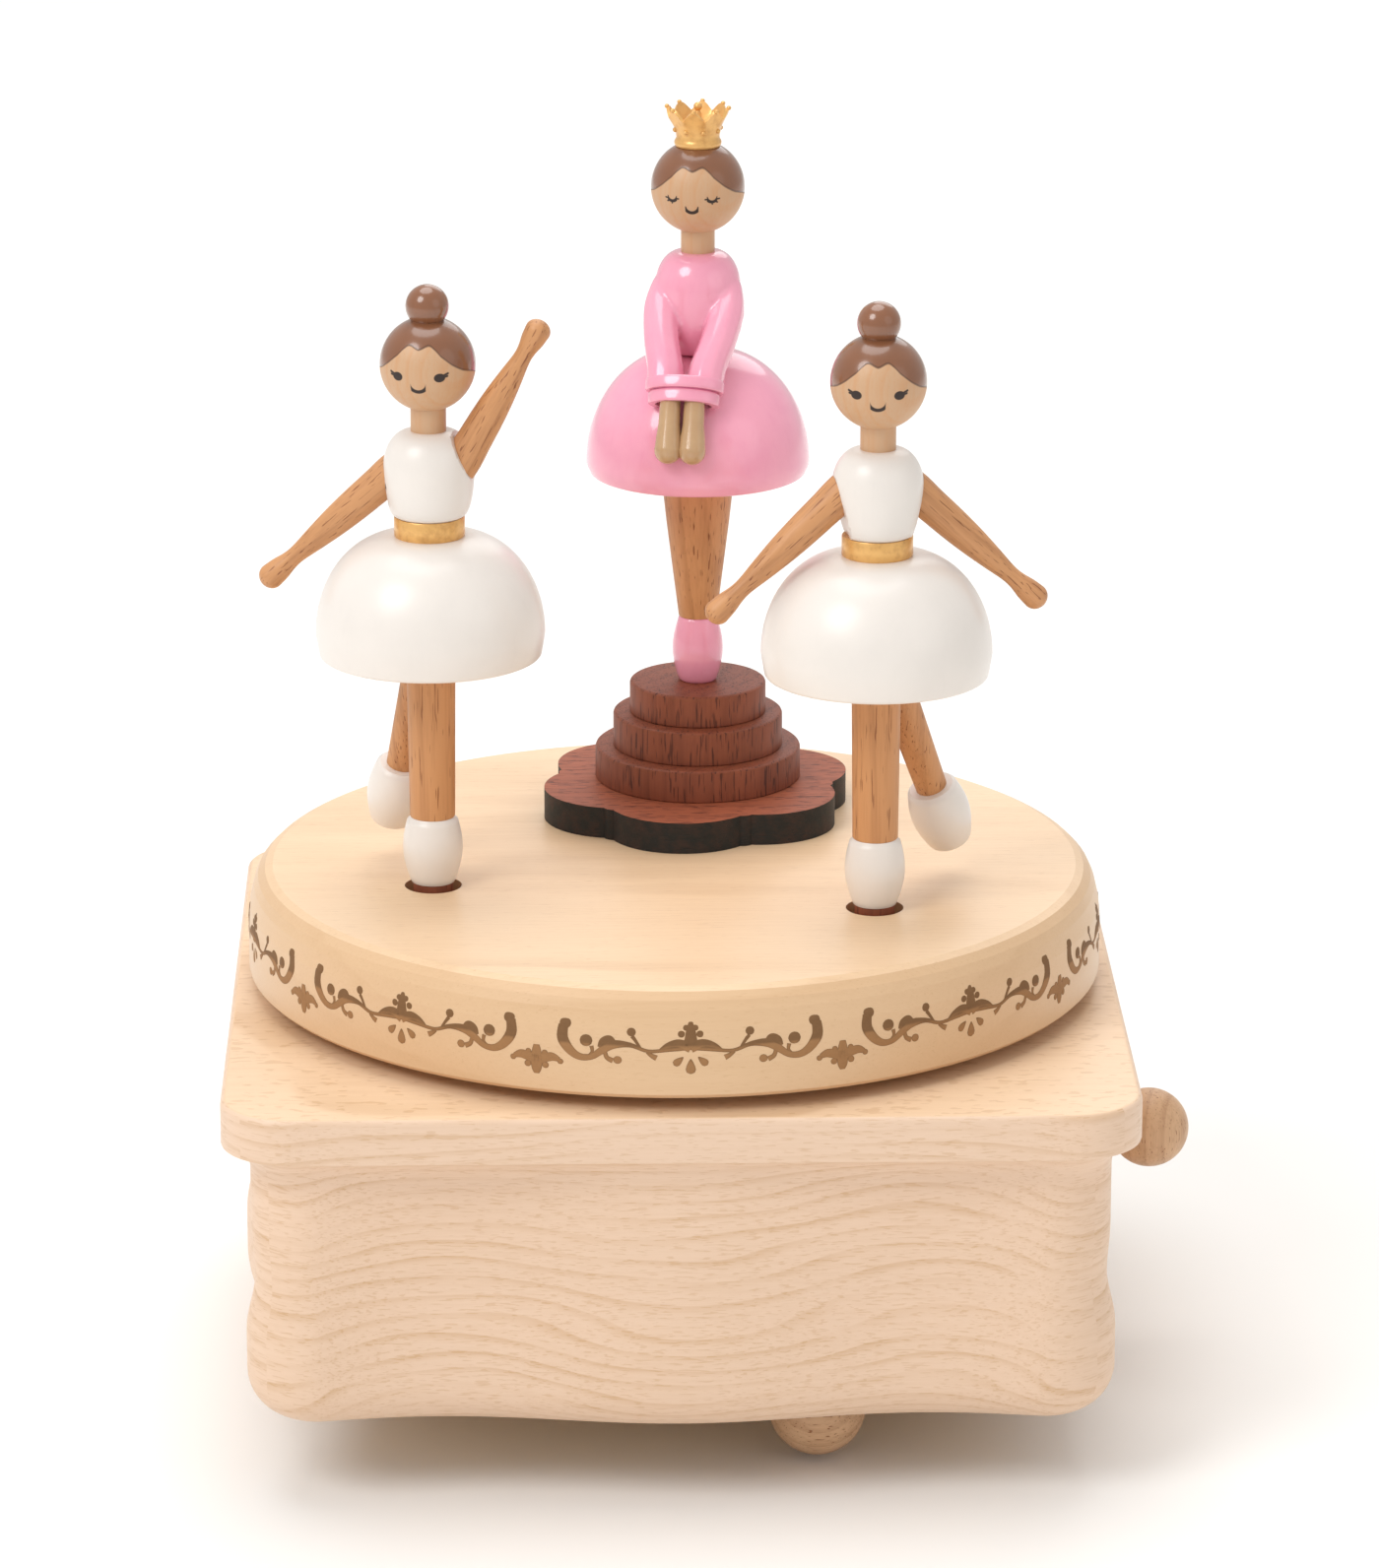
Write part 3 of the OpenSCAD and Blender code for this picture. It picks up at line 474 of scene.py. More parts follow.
def head_paint(name, colours, centre, turn, radius, closed_eyes=False):
    """Bare wood with painted hair, two eyes and a small smile."""
    sh = Shader(name)
    x, y, z = sh.place(turn, centre)
    bearing = sh.math("ARCTAN2", x, y * -1.0)
    height = z / radius
    flat = sh.math("MINIMUM", sh.most(height, -1.0), 1.0)
    u = bearing * radius
    v = sh.math("ARCSINE", flat) * radius + FACE_DROP
    side = abs(u)
    above = height - (sh.ramp(abs(bearing) / pi, HAIRLINE) * 2.0 - 1.0)
    hair = sh.step(above, -0.004, 0.006)
    outline = sh.step(abs(above), 0.030, 0.012)
    if closed_eyes:
        ink = arc(sh, side, v, (2.95, 0.35), 0.88, 0.23, 0.78)
        for lash in CLOSED_LASHES:
            ink = sh.most(ink, stroke(sh, side, v, *lash, 0.12))
        mouth = arc(sh, u, v, (0.0, -1.1), 1.1, 0.27, 1.0)
    else:
        du, dv = (side - 3.05) / 0.80, (v + 0.15) / 0.62
        ink = sh.step(sh.math("SQRT", du * du + dv * dv), 1.08, 0.94)
        for lash in OPEN_LASHES:
            ink = sh.most(ink, stroke(sh, side, v, *lash, 0.16))
        mouth = arc(sh, u, v, (0.0, -0.85), 1.4, 0.29, 1.1)
    ink = sh.most(ink, mouth) * sh.step(y, 0.5, -0.5)
    late, fibre = grained(sh, (z, x, y), (-26, 14), 1.7, 0.35)
    checks = flecks(sh, (z, x, y), 3.2, 0.2, 0.035)
    grain = late * 0.30 + sh.step(fibre, 0.4, 0.75) * 0.28 + checks * 0.35
    wood = sh.mix(grain, colours.face_wood, colours.limb_wood)
    brown = sh.mix(sh.noise((x, y, z), 0.3, 3.0) * 0.45, colours.hair, shaded(colours.hair, 0.55))
    tint = sh.mix(outline * 0.8, sh.mix(hair, wood, brown), shaded(colours.hair, 0.38))
    tint = sh.mix(ink * (1 - hair), tint, colours.ink)
    relief = sh.bump(hair * 0.7 + fibre * (1 - hair) * 0.25, 0.08, 0.5)
    return sh.finish(color=tint, roughness=(1 - hair) * 0.2 + 0.27, coat=hair * 0.7, coat_roughness=0.1,
                     normal=relief)


# ---- modelling ---------------------------------------------------------

def begin():
    """Object mode, with nothing selected."""
    if bpy.context.mode != "OBJECT":
        bpy.ops.object.mode_set(mode="OBJECT")
    bpy.ops.object.select_all(action="DESELECT")


def only(piece):
    begin()
    piece.select_set(True)
    bpy.context.view_layer.objects.active = piece


def edit(piece):
    only(piece)
    bpy.ops.object.mode_set(mode="EDIT")
    bpy.ops.mesh.select_all(action="SELECT")


def outward():
    """Merges what lies together and turns every face outwards, in edit mode."""
    bpy.ops.mesh.select_all(action="SELECT")
    bpy.ops.mesh.remove_doubles(threshold=0.002 * MM)
    bpy.ops.mesh.normals_make_consistent(inside=False)
    bpy.ops.object.mode_set(mode="OBJECT")


def settle(piece, name, place=Matrix(), sharp=35):
    """Names a piece, puts it in its place for good and smooths its curved faces."""
    only(piece)
    piece.name = piece.data.name = name
    piece.matrix_world = place @ piece.matrix_world
    bpy.ops.object.transform_apply(location=True, rotation=True, scale=True)
    smooth(piece, sharp)
    return piece


def at(x, y, z):
    return Matrix.Translation(Vector((x, y, z)) * MM)


def lathe(name, outline, place=Matrix(), steps=96, sharp=35):
    """A turned piece: an outline of (radius, height) in mm, spun about Z and then put in its place."""
    begin()
    bpy.ops.mesh.primitive_plane_add(size=MM)
    piece = bpy.context.active_object
    bpy.ops.object.mode_set(mode="EDIT")
    bpy.ops.mesh.merge(type="CENTER")
    bpy.ops.transform.translate(value=(outline[0][0] * MM, 0, outline[0][1] * MM))
    for a, b in zip(outline, outline[1:]):
        step = ((b[0] - a[0]) * MM, 0, (b[1] - a[1]) * MM)
        bpy.ops.mesh.extrude_vertices_move(TRANSFORM_OT_translate={"value": step})
    bpy.ops.mesh.select_all(action="SELECT")
    bpy.ops.mesh.spin(steps=steps, angle=tau, center=(0, 0, 0), axis=(0, 0, 1))
    outward()
    return settle(piece, name, place, sharp)


def ringed(name, rings, sharp=35):
    """A closed solid over rings of equal length, each (height, [(x, y), ...]) in mm: a filled circle is
    extruded once for each ring, and its points are then moved out to theirs."""
    begin()
    count = len(rings[0][1])
    bpy.ops.mesh.primitive_circle_add(vertices=count, radius=1.0, fill_type="NGON")
    piece = bpy.context.active_object
    bpy.ops.object.mode_set(mode="EDIT")
    for _ in rings[1:]:
        bpy.ops.mesh.extrude_region_move(TRANSFORM_OT_translate={"value": (0, 0, 1)})
    bpy.ops.object.mode_set(mode="OBJECT")
    for vertex in piece.data.vertices:
        spot = atan2(vertex.co.y, vertex.co.x) / tau * count
        height, plan = rings[round(vertex.co.z)]
        x, y = plan[round(spot) % count]
        vertex.co = Vector((x, y, height)) * MM
    bpy.ops.object.mode_set(mode="EDIT")
    outward()
    return settle(piece, name, sharp=sharp)


def smooth(piece, sharp=35):
    """Smooths every edge but those sharper than an angle in degrees."""
    only(piece)
    bpy.ops.object.shade_smooth_by_angle(angle=radians(sharp))


def modify(piece, kind, **settings):
    """Applies a modifier to a piece."""
    only(piece)
    modifier = piece.modifiers.new("shape", kind)
    for name, value in settings.items():
        setattr(modifier, name, value)
    bpy.ops.object.modifier_apply(modifier="shape")


def carve(piece, tool):
    """Cuts a tool out of a piece."""
    modify(piece, "BOOLEAN", operation="DIFFERENCE", solver="EXACT", object=tool)
    bpy.data.objects.remove(tool, do_unlink=True)


def block(low, high):
    """A plain block between two corners in mm, for carving."""
    begin()
    low, high = Vector(low) * MM, Vector(high) * MM
    bpy.ops.mesh.primitive_cube_add(size=1, location=(low + high) / 2)
    piece = bpy.context.active_object
    piece.scale = high - low
    bpy.ops.object.transform_apply(location=True, rotation=True, scale=True)
    return piece


def halve(piece, point, normal):
    """Cuts off what lies past a plane on the side of its normal, and closes the cut."""
    edit(piece)
    bpy.ops.mesh.bisect(plane_co=Vector(point), plane_no=Vector(normal), use_fill=True, clear_outer=True)
    bpy.ops.object.mode_set(mode="OBJECT")


def joined(pieces):
    """Several pieces as one mesh."""
    begin()
    for piece in pieces:
        piece.select_set(True)
    bpy.context.view_layer.objects.active = pieces[0]
    bpy.ops.object.join()
    return pieces[0]


def rods(name, strokes):
    """Round rods of changing thickness, each a list of (point, radius), as one mesh."""
    begin()
    curve = bpy.data.curves.new(name, "CURVE")
    curve.dimensions = "3D"
    curve.bevel_depth = 1.0
    curve.bevel_resolution = 3
    curve.use_fill_caps = True
    for knots in strokes:
        spline = curve.splines.new("POLY")
        spline.points.add(len(knots) - 1)
        for point, (place, radius) in zip(spline.points, knots):
            point.co = (*(Vector(place) * MM), 1)
            point.radius = radius * MM
    piece = bpy.data.objects.new(name, curve)
    bpy.context.scene.collection.objects.link(piece)
    only(piece)
    bpy.ops.object.convert(target="MESH")
    piece = bpy.context.active_object
    edit(piece)
    outward()
    return piece


def eased(points, count):
    """A smooth run through points of any length, count steps to each gap."""
    ends = [points[0], *points, points[-1]]
    path = []
    for a, b, c, d in zip(ends, ends[1:], ends[2:], ends[3:]):
        for i in range(count):
            t = i / count
            path.append(tuple(
                0.5 * (2 * q + (r - p) * t + (2 * p - 5 * q + 4 * r - s) * t * t
                       + (3 * q - p - 3 * r + s) * t ** 3) for p, q, r, s in zip(a, b, c, d)))
    return path + [tuple(points[-1])]


def show(piece, body, slot, material, *nodes):
    """Hands a finished piece over: its body, its material and the nodes it stands for; the slot is not used."""
    piece.data.materials.clear()
    piece.data.materials.append(material)
    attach(piece, body)
    if nodes:
        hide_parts(*nodes)
    return piece


def dress(material, *nodes):
    """Gives CAD nodes that keep their shape a better material."""
    for name in nodes:
        node = frame["nodes"][name]
        for slot in node.material_slots:
            slot.material = material
        if not node.material_slots:
            node.data.materials.append(material)


# ---- outlines of the case ----------------------------------------------

SIDE_STEPS = 64
CORNER_STEPS = 12
CORNER_R = 10
# the walls from the bottom up: a belly, a waist above it and a slight flare under the lid
BELLY_Z = CASE_Z + 12
WAIST_Z = BELLY_Z + 8
FLARE_H = 7
FLARE = 0.4
FADE_H = 15
WAVES = 0.75
# inside the walls: a pocket with a block left in each corner
POCKET = 54
CORNER_BLOCK = 12
JAMB_GAP = 0.4


def quarter(steps):
    """Angles through a quarter of a turn, both ends included."""
    return [pi / 2 * i / steps for i in range(steps + 1)]


def around(half_way, corner_at, corner_r):
    """A closed plan of four like sides, half_way(t) out at a distance of t from their middles, and of the
    round corners that join them."""
    points = []
    for side in range(4):
        turn = Matrix.Rotation(side * pi / 2, 2)
        for i in range(-SIDE_STEPS // 2, SIDE_STEPS // 2):
            t = corner_at * i / (SIDE_STEPS // 2)
            points.append(turn @ Vector((half_way(t), t)))
        for a in quarter(CORNER_STEPS)[:-1]:
            points.append(turn @ Vector([corner_at + corner_r * way(a) for way in (cos, sin)]))
    return [tuple(p) for p in points]


def ease(x):
    """0 up to 0, 1 from 1, and a smooth rise between them."""
    x = min(1.0, max(0.0, x))
    return x * x * (3 - 2 * x)


def wall_line(swell, left=1.0):
    """The serpentine wall's distance out, by distance from the middle of a side, with a share of its swell."""
    mean = WALL_MAX - swell
    wave = (mean - CORNER_R) / WAVES
    return lambda t: mean + left * swell * cos(tau * t / wave)


def wall_plan(sizes, z, more=0.0):
    """Plan of the walls at a height, drawn in by so much more."""
    swell = sizes.wall_swell / MM
    waist = sizes.wall_waist / MM * ease((z - BELLY_Z) / (WAIST_Z - BELLY_Z))
    inset = waist - FLARE * ease((z - WAIST_Z) / FLARE_H) + more
    line = wall_line(swell, 1 - 0.4 * ease((z - BELLY_Z) / FADE_H))
    return around(lambda t: line(t) - inset, WALL_MAX - swell - CORNER_R, CORNER_R - inset)


def lid_plan(corner, inset=0.0):
    return around(lambda t: LID_HALF - inset, LID_HALF - corner, corner - inset)


def between(a, b, share):
    return [(p[0] + (q[0] - p[0]) * share, p[1] + (q[1] - p[1]) * share) for p, q in zip(a, b)]


def dome(radius, low, high, top, upright, steps=28):
    """A turned skirt, from its upright lip over the dome to a flat top, hollowed underneath."""
    lip = 0.45
    points = [(0, low + 3.0), (radius - 3.6, low + 3.0), (radius - 2.9, low + 2.6), (radius - 2.4, low + 1.8),
              (radius - 1.9, low + 0.6), (radius - 1.6, low + 0.12), (radius - 1.3, low)]
    for a in quarter(4):
        points.append((radius - 0.45 - lip * 1.2 + lip * 1.2 * sin(a), low + lip - lip * cos(a)))
    rise = high - low - upright
    for i in range(steps + 1):
        a = pi / 2 * (i / steps) ** 0.92
        points.append((top + (radius - top) * cos(a), low + upright + rise * sin(a)))
    return points + [(0, high)]


def egg(low_r, low, wide_r, wide, high_r, high, steps=14):
    """A turned body, widest at wide, and flat at both ends."""
    points = [(0, low), (low_r - 0.15, low)]
    for a in quarter(steps):
        points.append((low_r + (wide_r - low_r) * sin(a),
                       low + 0.15 + (wide - low - 0.15) * (1 - cos(a))))
    for a in quarter(steps)[1:]:
        points.append((high_r + (wide_r - high_r) * cos(a), wide + (high - wide) * sin(a)))
    return points + [(0, high)]


def ball(radius, centre, low=-90.0, high=90.0, steps=28):
    """An arc of a ball about a centre on the axis, from one latitude to another."""
    angles = [radians(low + (high - low) * i / steps) for i in range(steps + 1)]
    return [(radius * cos(a), centre + radius * sin(a)) for a in angles]


def slipper(foot_h, steps=20):
    """A barrel-shaped slipper."""
    points = [(0, 0), (2.75, 0), (2.98, 0.1)]
    for i in range(1, steps):
        t = i / steps
        points.append((3.1 + 0.95 * sin(pi * t - 0.07) + 0.25 * t, foot_h * t))
    return points + [(3.28, foot_h - 0.25), (3.1, foot_h), (0, foot_h)]


# ---- operators ---------------------------------------------------------

class Maker(bpy.types.Operator):
    """What the operators below share"""
    bl_options = {"REGISTER"}

    def execute(self, context):
        self.sizes = context.scene.music_box_sizes
        self.colours = context.scene.music_box_colours
        self.make()
        return {"FINISHED"}


class MUSICBOX_OT_stage(Maker):
    """A pale floor, soft studio light and the camera"""
    bl_idname = "musicbox.stage"
    bl_label = "Stage"

    def make(self):
        begin()
        eye = Vector((-18.82, -984.97, 386.89)) * MM
        target = Vector((2.164, 0, 85.37)) * MM
        bpy.ops.object.camera_add(location=eye, rotation=(target - eye).to_track_quat("-Z", "Y").to_euler())
        camera = bpy.context.active_object
        camera.name = "camera"
        camera.data.sensor_width = 36
        camera.data.lens = 167.5
        camera.data.clip_start = 0.05
        camera.data.clip_end = 60
        bpy.context.scene.camera = camera

        bpy.ops.mesh.primitive_plane_add(size=24, location=(0, 0, FLOOR_Z * MM))
        floor = bpy.context.active_object
        floor.name = "floor"
        sh = Shader("floor paint")
        x, y, z = sh.place()
        mottle = sh.noise((x, y, z), 0.006, 3.0)
        pale = self.colours.floor
        floor.data.materials.append(sh.finish(color=sh.mix(mottle, pale, shaded(pale, 0.97)), roughness=0.9,
                                              specular=0.1))

        world = bpy.data.worlds.new("studio")
        bpy.context.scene.world = world
        world.use_nodes = True
        world.node_tree.nodes["Background"].inputs[0].default_value = (1.0, 0.99, 0.975, 1)
        world.node_tree.nodes["Background"].inputs[1].default_value = 0.62
        # each lamp's place, width in m and power in W
        lamps = [("key", (-0.85, -0.75, 1.15), 0.8, 9.0), ("fill", (1.1, -0.9, 0.7), 1.1, 1.2),
                 ("overhead", (-0.1, 0.3, 1.5), 1.2, 9.5), ("back", (0.3, 1.2, 0.9), 1.0, 3.0)]
        for name, place, size, power in lamps:
            aim = Vector((0, 0, 0.08)) - Vector(place)
            bpy.ops.object.light_add(type="AREA", location=place,
                                     rotation=aim.to_track_quat("-Z", "Y").to_euler())
            lamp = bpy.context.active_object
            lamp.name = name
            lamp.data.shape = "DISK"
            lamp.data.size = size
            lamp.data.energy = power
        bpy.context.scene.view_settings.view_transform = "Standard"


class MUSICBOX_OT_case(Maker):
    """The lid with its moulded edge, the serpentine walls, and the boards and rails underneath"""
    bl_idname = "musicbox.case"
    bl_label = "Case"

    def make(self):
        sizes, c = self.sizes, self.colours
        self.lid(sizes, c)
        self.walls(sizes, c)
        board = pale_wood("board wood", c.board_wood, c.late_wood, (20, -60), 3.0, 0.5, 0.05, 0.6, 0.0)
        dress(board, "bottom_board", "drawer_guide")
        dress(open_wood("rail wood", c.knob_wood, c.limb_pores, grain="X", length_mm=3, share=0.04),
              "foot_frame")

    def lid(self, sizes, c):
        corner = sizes.lid_corner / MM
        lip = TOP_Z - sizes.lid_edge / MM
        walls, edge = wall_plan(sizes, SEAM_Z), lid_plan(corner)
        rings = []
        for a in quarter(12):
            rings.append((LID_Z + (lip - LID_Z) * sin(a),
                          between(walls, lid_plan(corner, 0.4), 1 - cos(a))))
        rings += [(lip + 0.12, lid_plan(corner, 0.1)), (lip + 0.4, edge)]
        for a in quarter(5):
            rings.append((TOP_Z - 0.9 + 0.9 * sin(a), lid_plan(corner, 0.9 - 0.9 * cos(a))))
        lid = ringed("lid_board", rings, sharp=40)
        begin()
        bpy.ops.mesh.primitive_cylinder_add(vertices=64, radius=5 * MM, depth=60 * MM,
                                            location=(0, 0, TOP_Z * MM))
        carve(lid, bpy.context.active_object)
        smooth(lid)
        # painted light: the lid's top is paler than its upright edge, which takes the walls' wood colour
        wood = pale_wood("lid wood", c.lid_top_lit_wood, c.late_wood, *RINGS, 0.45, 0.10, 0.45, mitred=True,
                         side=c.case_wood)
        show(lid, "case", "beech_case", wood, "case_top")

    def walls(self, sizes, c):
        edge = sizes.lower_edge / MM
        rings = [(CASE_Z + edge * (1 - cos(a)), wall_plan(sizes, CASE_Z, edge * (1 - sin(a))))
                 for a in quarter(14)]
        levels = [BELLY_Z + i for i in range(17)] + [SEAM_Z - 4, SEAM_Z]
        rings += [(z, wall_plan(sizes, z)) for z in levels]
        walls = ringed("serpentine_walls", rings, sharp=40)
        low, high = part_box("bottom_board")
        opening = high.x / MM + 0.3
        carve(walls, block((-opening, -opening, CASE_Z - 5), (opening, opening, high.z / MM)))
        base, top, narrow = high.z / MM - 0.01, SEAM_Z + 5, POCKET - CORNER_BLOCK
        carve(walls, block((-POCKET, -narrow, base), (POCKET, narrow, top)))
        for sign in (-1, 1):
            y0, y1 = sorted((sign * narrow, sign * POCKET))
            carve(walls, block((-narrow, y0 - 0.01, base), (narrow, y1 + 0.01, top)))
        low, high = box("drawer_front")
        gap = Vector((0, JAMB_GAP, JAMB_GAP))
        carve(walls, block(Vector((50, low.y, low.z)) - gap, Vector((80, high.y, high.z)) + gap))
        smooth(walls)
        show(walls, "case", "beech_case", beech("beech", c), "case_walls")


class MUSICBOX_OT_drawer(Maker):
    """The drawer: its curved front, ball knob, tray and felt"""
    bl_idname = "musicbox.drawer"
    bl_label = "Drawer"

    def make(self):
        sizes, c = self.sizes, self.colours
        low, high = box("drawer_front")
        line = wall_line(sizes.wall_swell / MM)
        proud = high.x - line(0)
        steps = 40
        half = high.y

        def plan(inset):
            places = [half * (2 * i / steps - 1) for i in range(steps + 1)]
            front = [(line(t) + proud - inset, t * (1 - inset / half)) for t in places]
            return front + [(low.x, half - inset), (low.x, inset - half)]

        rings = [(low.z, plan(0.5)), (low.z + 0.12, plan(0.2)), (low.z + 0.4, plan(0)),
                 (high.z - 0.4, plan(0)), (high.z - 0.12, plan(0.2)), (high.z, plan(0.5))]
        front = ringed("curved_drawer_front", rings, sharp=30)
        show(front, "drawer", "beech_case", beech("drawer beech", c), "drawer_front")
        radius, centre = 5.66, 68.1
        outline = [(0, low.x), (1.5, low.x), (1.5, high.x), (2.6, high.x)]
        outline += ball(radius, centre, -62.0, 90.0, 40)
        turn = at(0, 0, (low.z + high.z) / 2) @ Matrix.Rotation(pi / 2, 4, "Y")
        knob = lathe("drawer_ball", outline, turn)
        show(knob, "drawer", "knob_wood",
             open_wood("side knob wood", c.knob_wood, c.limb_pores, (0, 0, 33), 0.0, "Z", 2.5, 0.2, 0.03, 0.42,
                       streak=0.35), "drawer_knob")
        tray = pale_wood("tray wood", c.board_wood, c.late_wood, (-40, 10), 2.6, 0.5, 0.05, 0.6, 0.0)
        dress(tray, "drawer_box")
        dress(felt("felt", c.felt), "drawer_lining")


class MUSICBOX_OT_movement(Maker):
    """The clockwork in the case, and the gears, spindle and winding knob"""
    bl_idname = "musicbox.movement"
    bl_label = "Movement"

    def make(self):
        c = self.colours
        brass = metal("brass", srgb(226, 186, 104), srgb(168, 120, 60), 0.32)
        dress(brass, "bedplate", "bearing_frame", "spring_barrel", "pin_cylinder", "drive_gear", "sun_gear",
              "lid_bush", "peg_bushes", "left_pinion", "right_pinion")
        steel = metal("steel", srgb(196, 197, 200), srgb(140, 138, 134), 0.28)
        dress(steel, "music_comb", "winding_arbor", "spindle", "base_screws", "movement_screws")
        dress(metal("aluminium", srgb(214, 215, 218), srgb(170, 170, 172), 0.35), "governor")
        low, high = box("winding_knob")
        centre = (low + high) / 2
        radius = (high.x - low.x) / 2
        outline = [(0, low.z)] + ball(radius, low.z + radius, -88.0, 54.0, 44)
        outline += [(radius * cos(radians(54)), high.z), (0, high.z)]
        knob = lathe("winding_ball", outline, at(centre.x, centre.y, 0))
        show(knob, "winder", "knob_wood",
             open_wood("winding knob wood", c.knob_wood, c.limb_pores,
                       (centre.x, centre.y, 0), 0.0, "X", 2.5, 0.22, 0.05, 0.42), "winding_knob")


class MUSICBOX_OT_turntable(Maker):
    """The revolving disc with its burnt scrollwork, and the dancers' pegs"""
    bl_idname = "musicbox.turntable"
    bl_label = "Turntable"

    REPEATS = 9
    BAND_DROP = 7.93

    def make(self):
        c = self.colours
        # painted shade: the disc's upright edge takes a darker colour than its top
        dress(pale_wood("disc wood", c.disc_wood, c.late_wood, (10, -150), 7.0, 0.28, 0.035, 0.4, 0.2,
                        side=c.disc_edge_shade), "turntable")
        dress(open_wood("peg wood", c.red_wood, c.red_pores, grain="Z"), "left_peg", "right_peg")
        self.band()

    def side(self, z):
        """The disc's radius at a height: upright below, and easing in to the rounded upper edge."""
        return DISC_R - 0.2 * ease((z - STAGE_Z + 8) / 2.7) - 0.75 * ease((z - STAGE_Z + 5.6) / 3.2)

    def unit(self):
        """One repeat of the scrollwork, as strokes over the flat: along, out and up in mm."""
        strokes = []

        def run(points, radii, mirrored=True, steps=5):
            knots = eased([(*p, r) for p, r in zip(points, radii)], steps)
            for side in ((1, -1) if mirrored else (1,)):
                strokes.append([((side * u, 0, v), max(r, 0.03)) for u, v, r in knots])

        def dot(u, v, radius, mirrored=True):
            ends = [(-1.0, 0.1), (-0.85, 0.55), (-0.5, 0.88), (0, 1.0), (0.5, 0.88), (0.85, 0.55), (1.0, 0.1)]
            for side in ((1, -1) if mirrored else (1,)):
                strokes.append([((side * u + radius * e, 0, v), radius * r) for e, r in ends])

        def drop(u, v, lean, size):
            sway, rise = sin(radians(lean)) * size, cos(radians(lean)) * size
            for side in ((1, -1) if lean else (1,)):
                strokes.append([((side * (u + sway * t), 0, v - rise * t), size * r) for t, r in [
                    (0, 0.04), (0.2, 0.16), (0.45, 0.27), (0.7, 0.33), (0.9, 0.26), (1.0, 0.06)]])

        # the stem, out to the big curled end
        run([(0, 0.3), (2.8, 0.0), (5.7, -0.25), (8.1, 0.55), (10.4, 0.55), (12.0, -0.35), (13.4, -1.3),
             (15.0, -1.4), (16.4, -0.5), (17.4, 1.1), (17.3, 2.9)],
            [0.35, 0.30, 0.26, 0.34, 0.62, 0.55, 0.45, 0.52, 0.68, 0.80, 0.72])
        dot(17.05, 3.15, 0.80)
        # the palmette and its drops
        run([(0, 0.25), (1.6, 0.85), (3.1, 0.55), (4.3, -0.15)], [0.75, 0.62, 0.42, 0.12])
        run([(0, 0.3), (0, 1.9), (0, 3.2), (0, 4.1)], [0.95, 0.80, 0.50, 0.15], mirrored=False)
        dot(1.25, 2.15, 0.50)
        dot(0.62, 3.0, 0.42)
        dot(0, 3.75, 0.42, mirrored=False)
        drop(0, -1.35, 0, 2.1)
        drop(1.0, -1.05, 48, 1.7)
        # leaves and curls along the stem
        run([(6.6, -0.1), (7.3, 1.0), (7.9, 1.8)], [0.18, 0.22, 0.3])
        dot(8.0, 2.35, 0.62)
        run([(10.4, 0.6), (11.0, 1.2), (11.9, 0.9), (12.4, 0.1)], [0.5, 0.62, 0.5, 0.2])
        run([(11.6, -0.4), (11.3, -1.3), (10.5, -1.75)], [0.3, 0.34, 0.4])
        dot(9.85, -1.6, 0.58)
        dot(14.15, 0.95, 0.86)
        run([(13.4, 0.2), (13.3, -0.6), (13.8, -1.2)], [0.3, 0.24, 0.2])
        run([(5.9, -0.4), (5.2, -0.9), (4.6, -1.2)], [0.2, 0.34, 0.42])
        # half of the fleuron between two repeats, at this repeat's right-hand end
        far = pi * DISC_R / self.REPEATS
        for side in (-1, 1):
            run([(far + side * 3.2, -2.1), (far + side * 2.2, -1.75), (far + side, -2.0), (far, -2.2)],
                [0.35, 0.62, 0.7, 0.9], mirrored=False)
        run([(far, -0.2), (far, -0.9), (far, -2.2), (far, -3.6), (far, -4.3)], [0.42, 0.62, 0.85, 0.7, 0.35],
            mirrored=False)
        for side in (-1, 1):
            for u, v, radius in [(1.15, -1.25, 0.42), (1.25, -3.0, 0.48), (3.35, -2.3, 0.42)]:
                dot(far + side * u, v, radius, mirrored=False)
        return strokes

    def band(self):
        """The scrollwork, wrapped round the disc's edge; height stands off the wood."""
        height = self.sizes.engraving_height / MM
        middle_z = STAGE_Z - self.BAND_DROP
        flat = rods("scroll_unit", self.unit())
        start = radians(1.0) - pi / 2
        for vertex in flat.data.vertices:
            u, out, v = vertex.co / MM
            bearing = start + u / DISC_R
            radius = self.side(middle_z + v) + max(-1.0, min(1.0, -out / 0.45)) * height
            vertex.co = Vector((radius * cos(bearing), radius * sin(bearing), middle_z + v)) * MM
        edit(flat)
        bpy.ops.mesh.normals_make_consistent(inside=False)
        bpy.ops.object.mode_set(mode="OBJECT")
        copies = [flat]
        for i in range(1, self.REPEATS):
            only(flat)
            bpy.ops.object.duplicate(linked=False)
            copy = bpy.context.active_object
            copy.data.transform(Matrix.Rotation(tau * i / self.REPEATS, 4, "Z"))
            copies.append(copy)
        band = settle(joined(copies), "burnt_scrollwork", sharp=60)
        show(band, "stage", "maple_disc",
             scroll_paint("burnt scrollwork", self.colours.engraving, self.sizes.engraving_height))


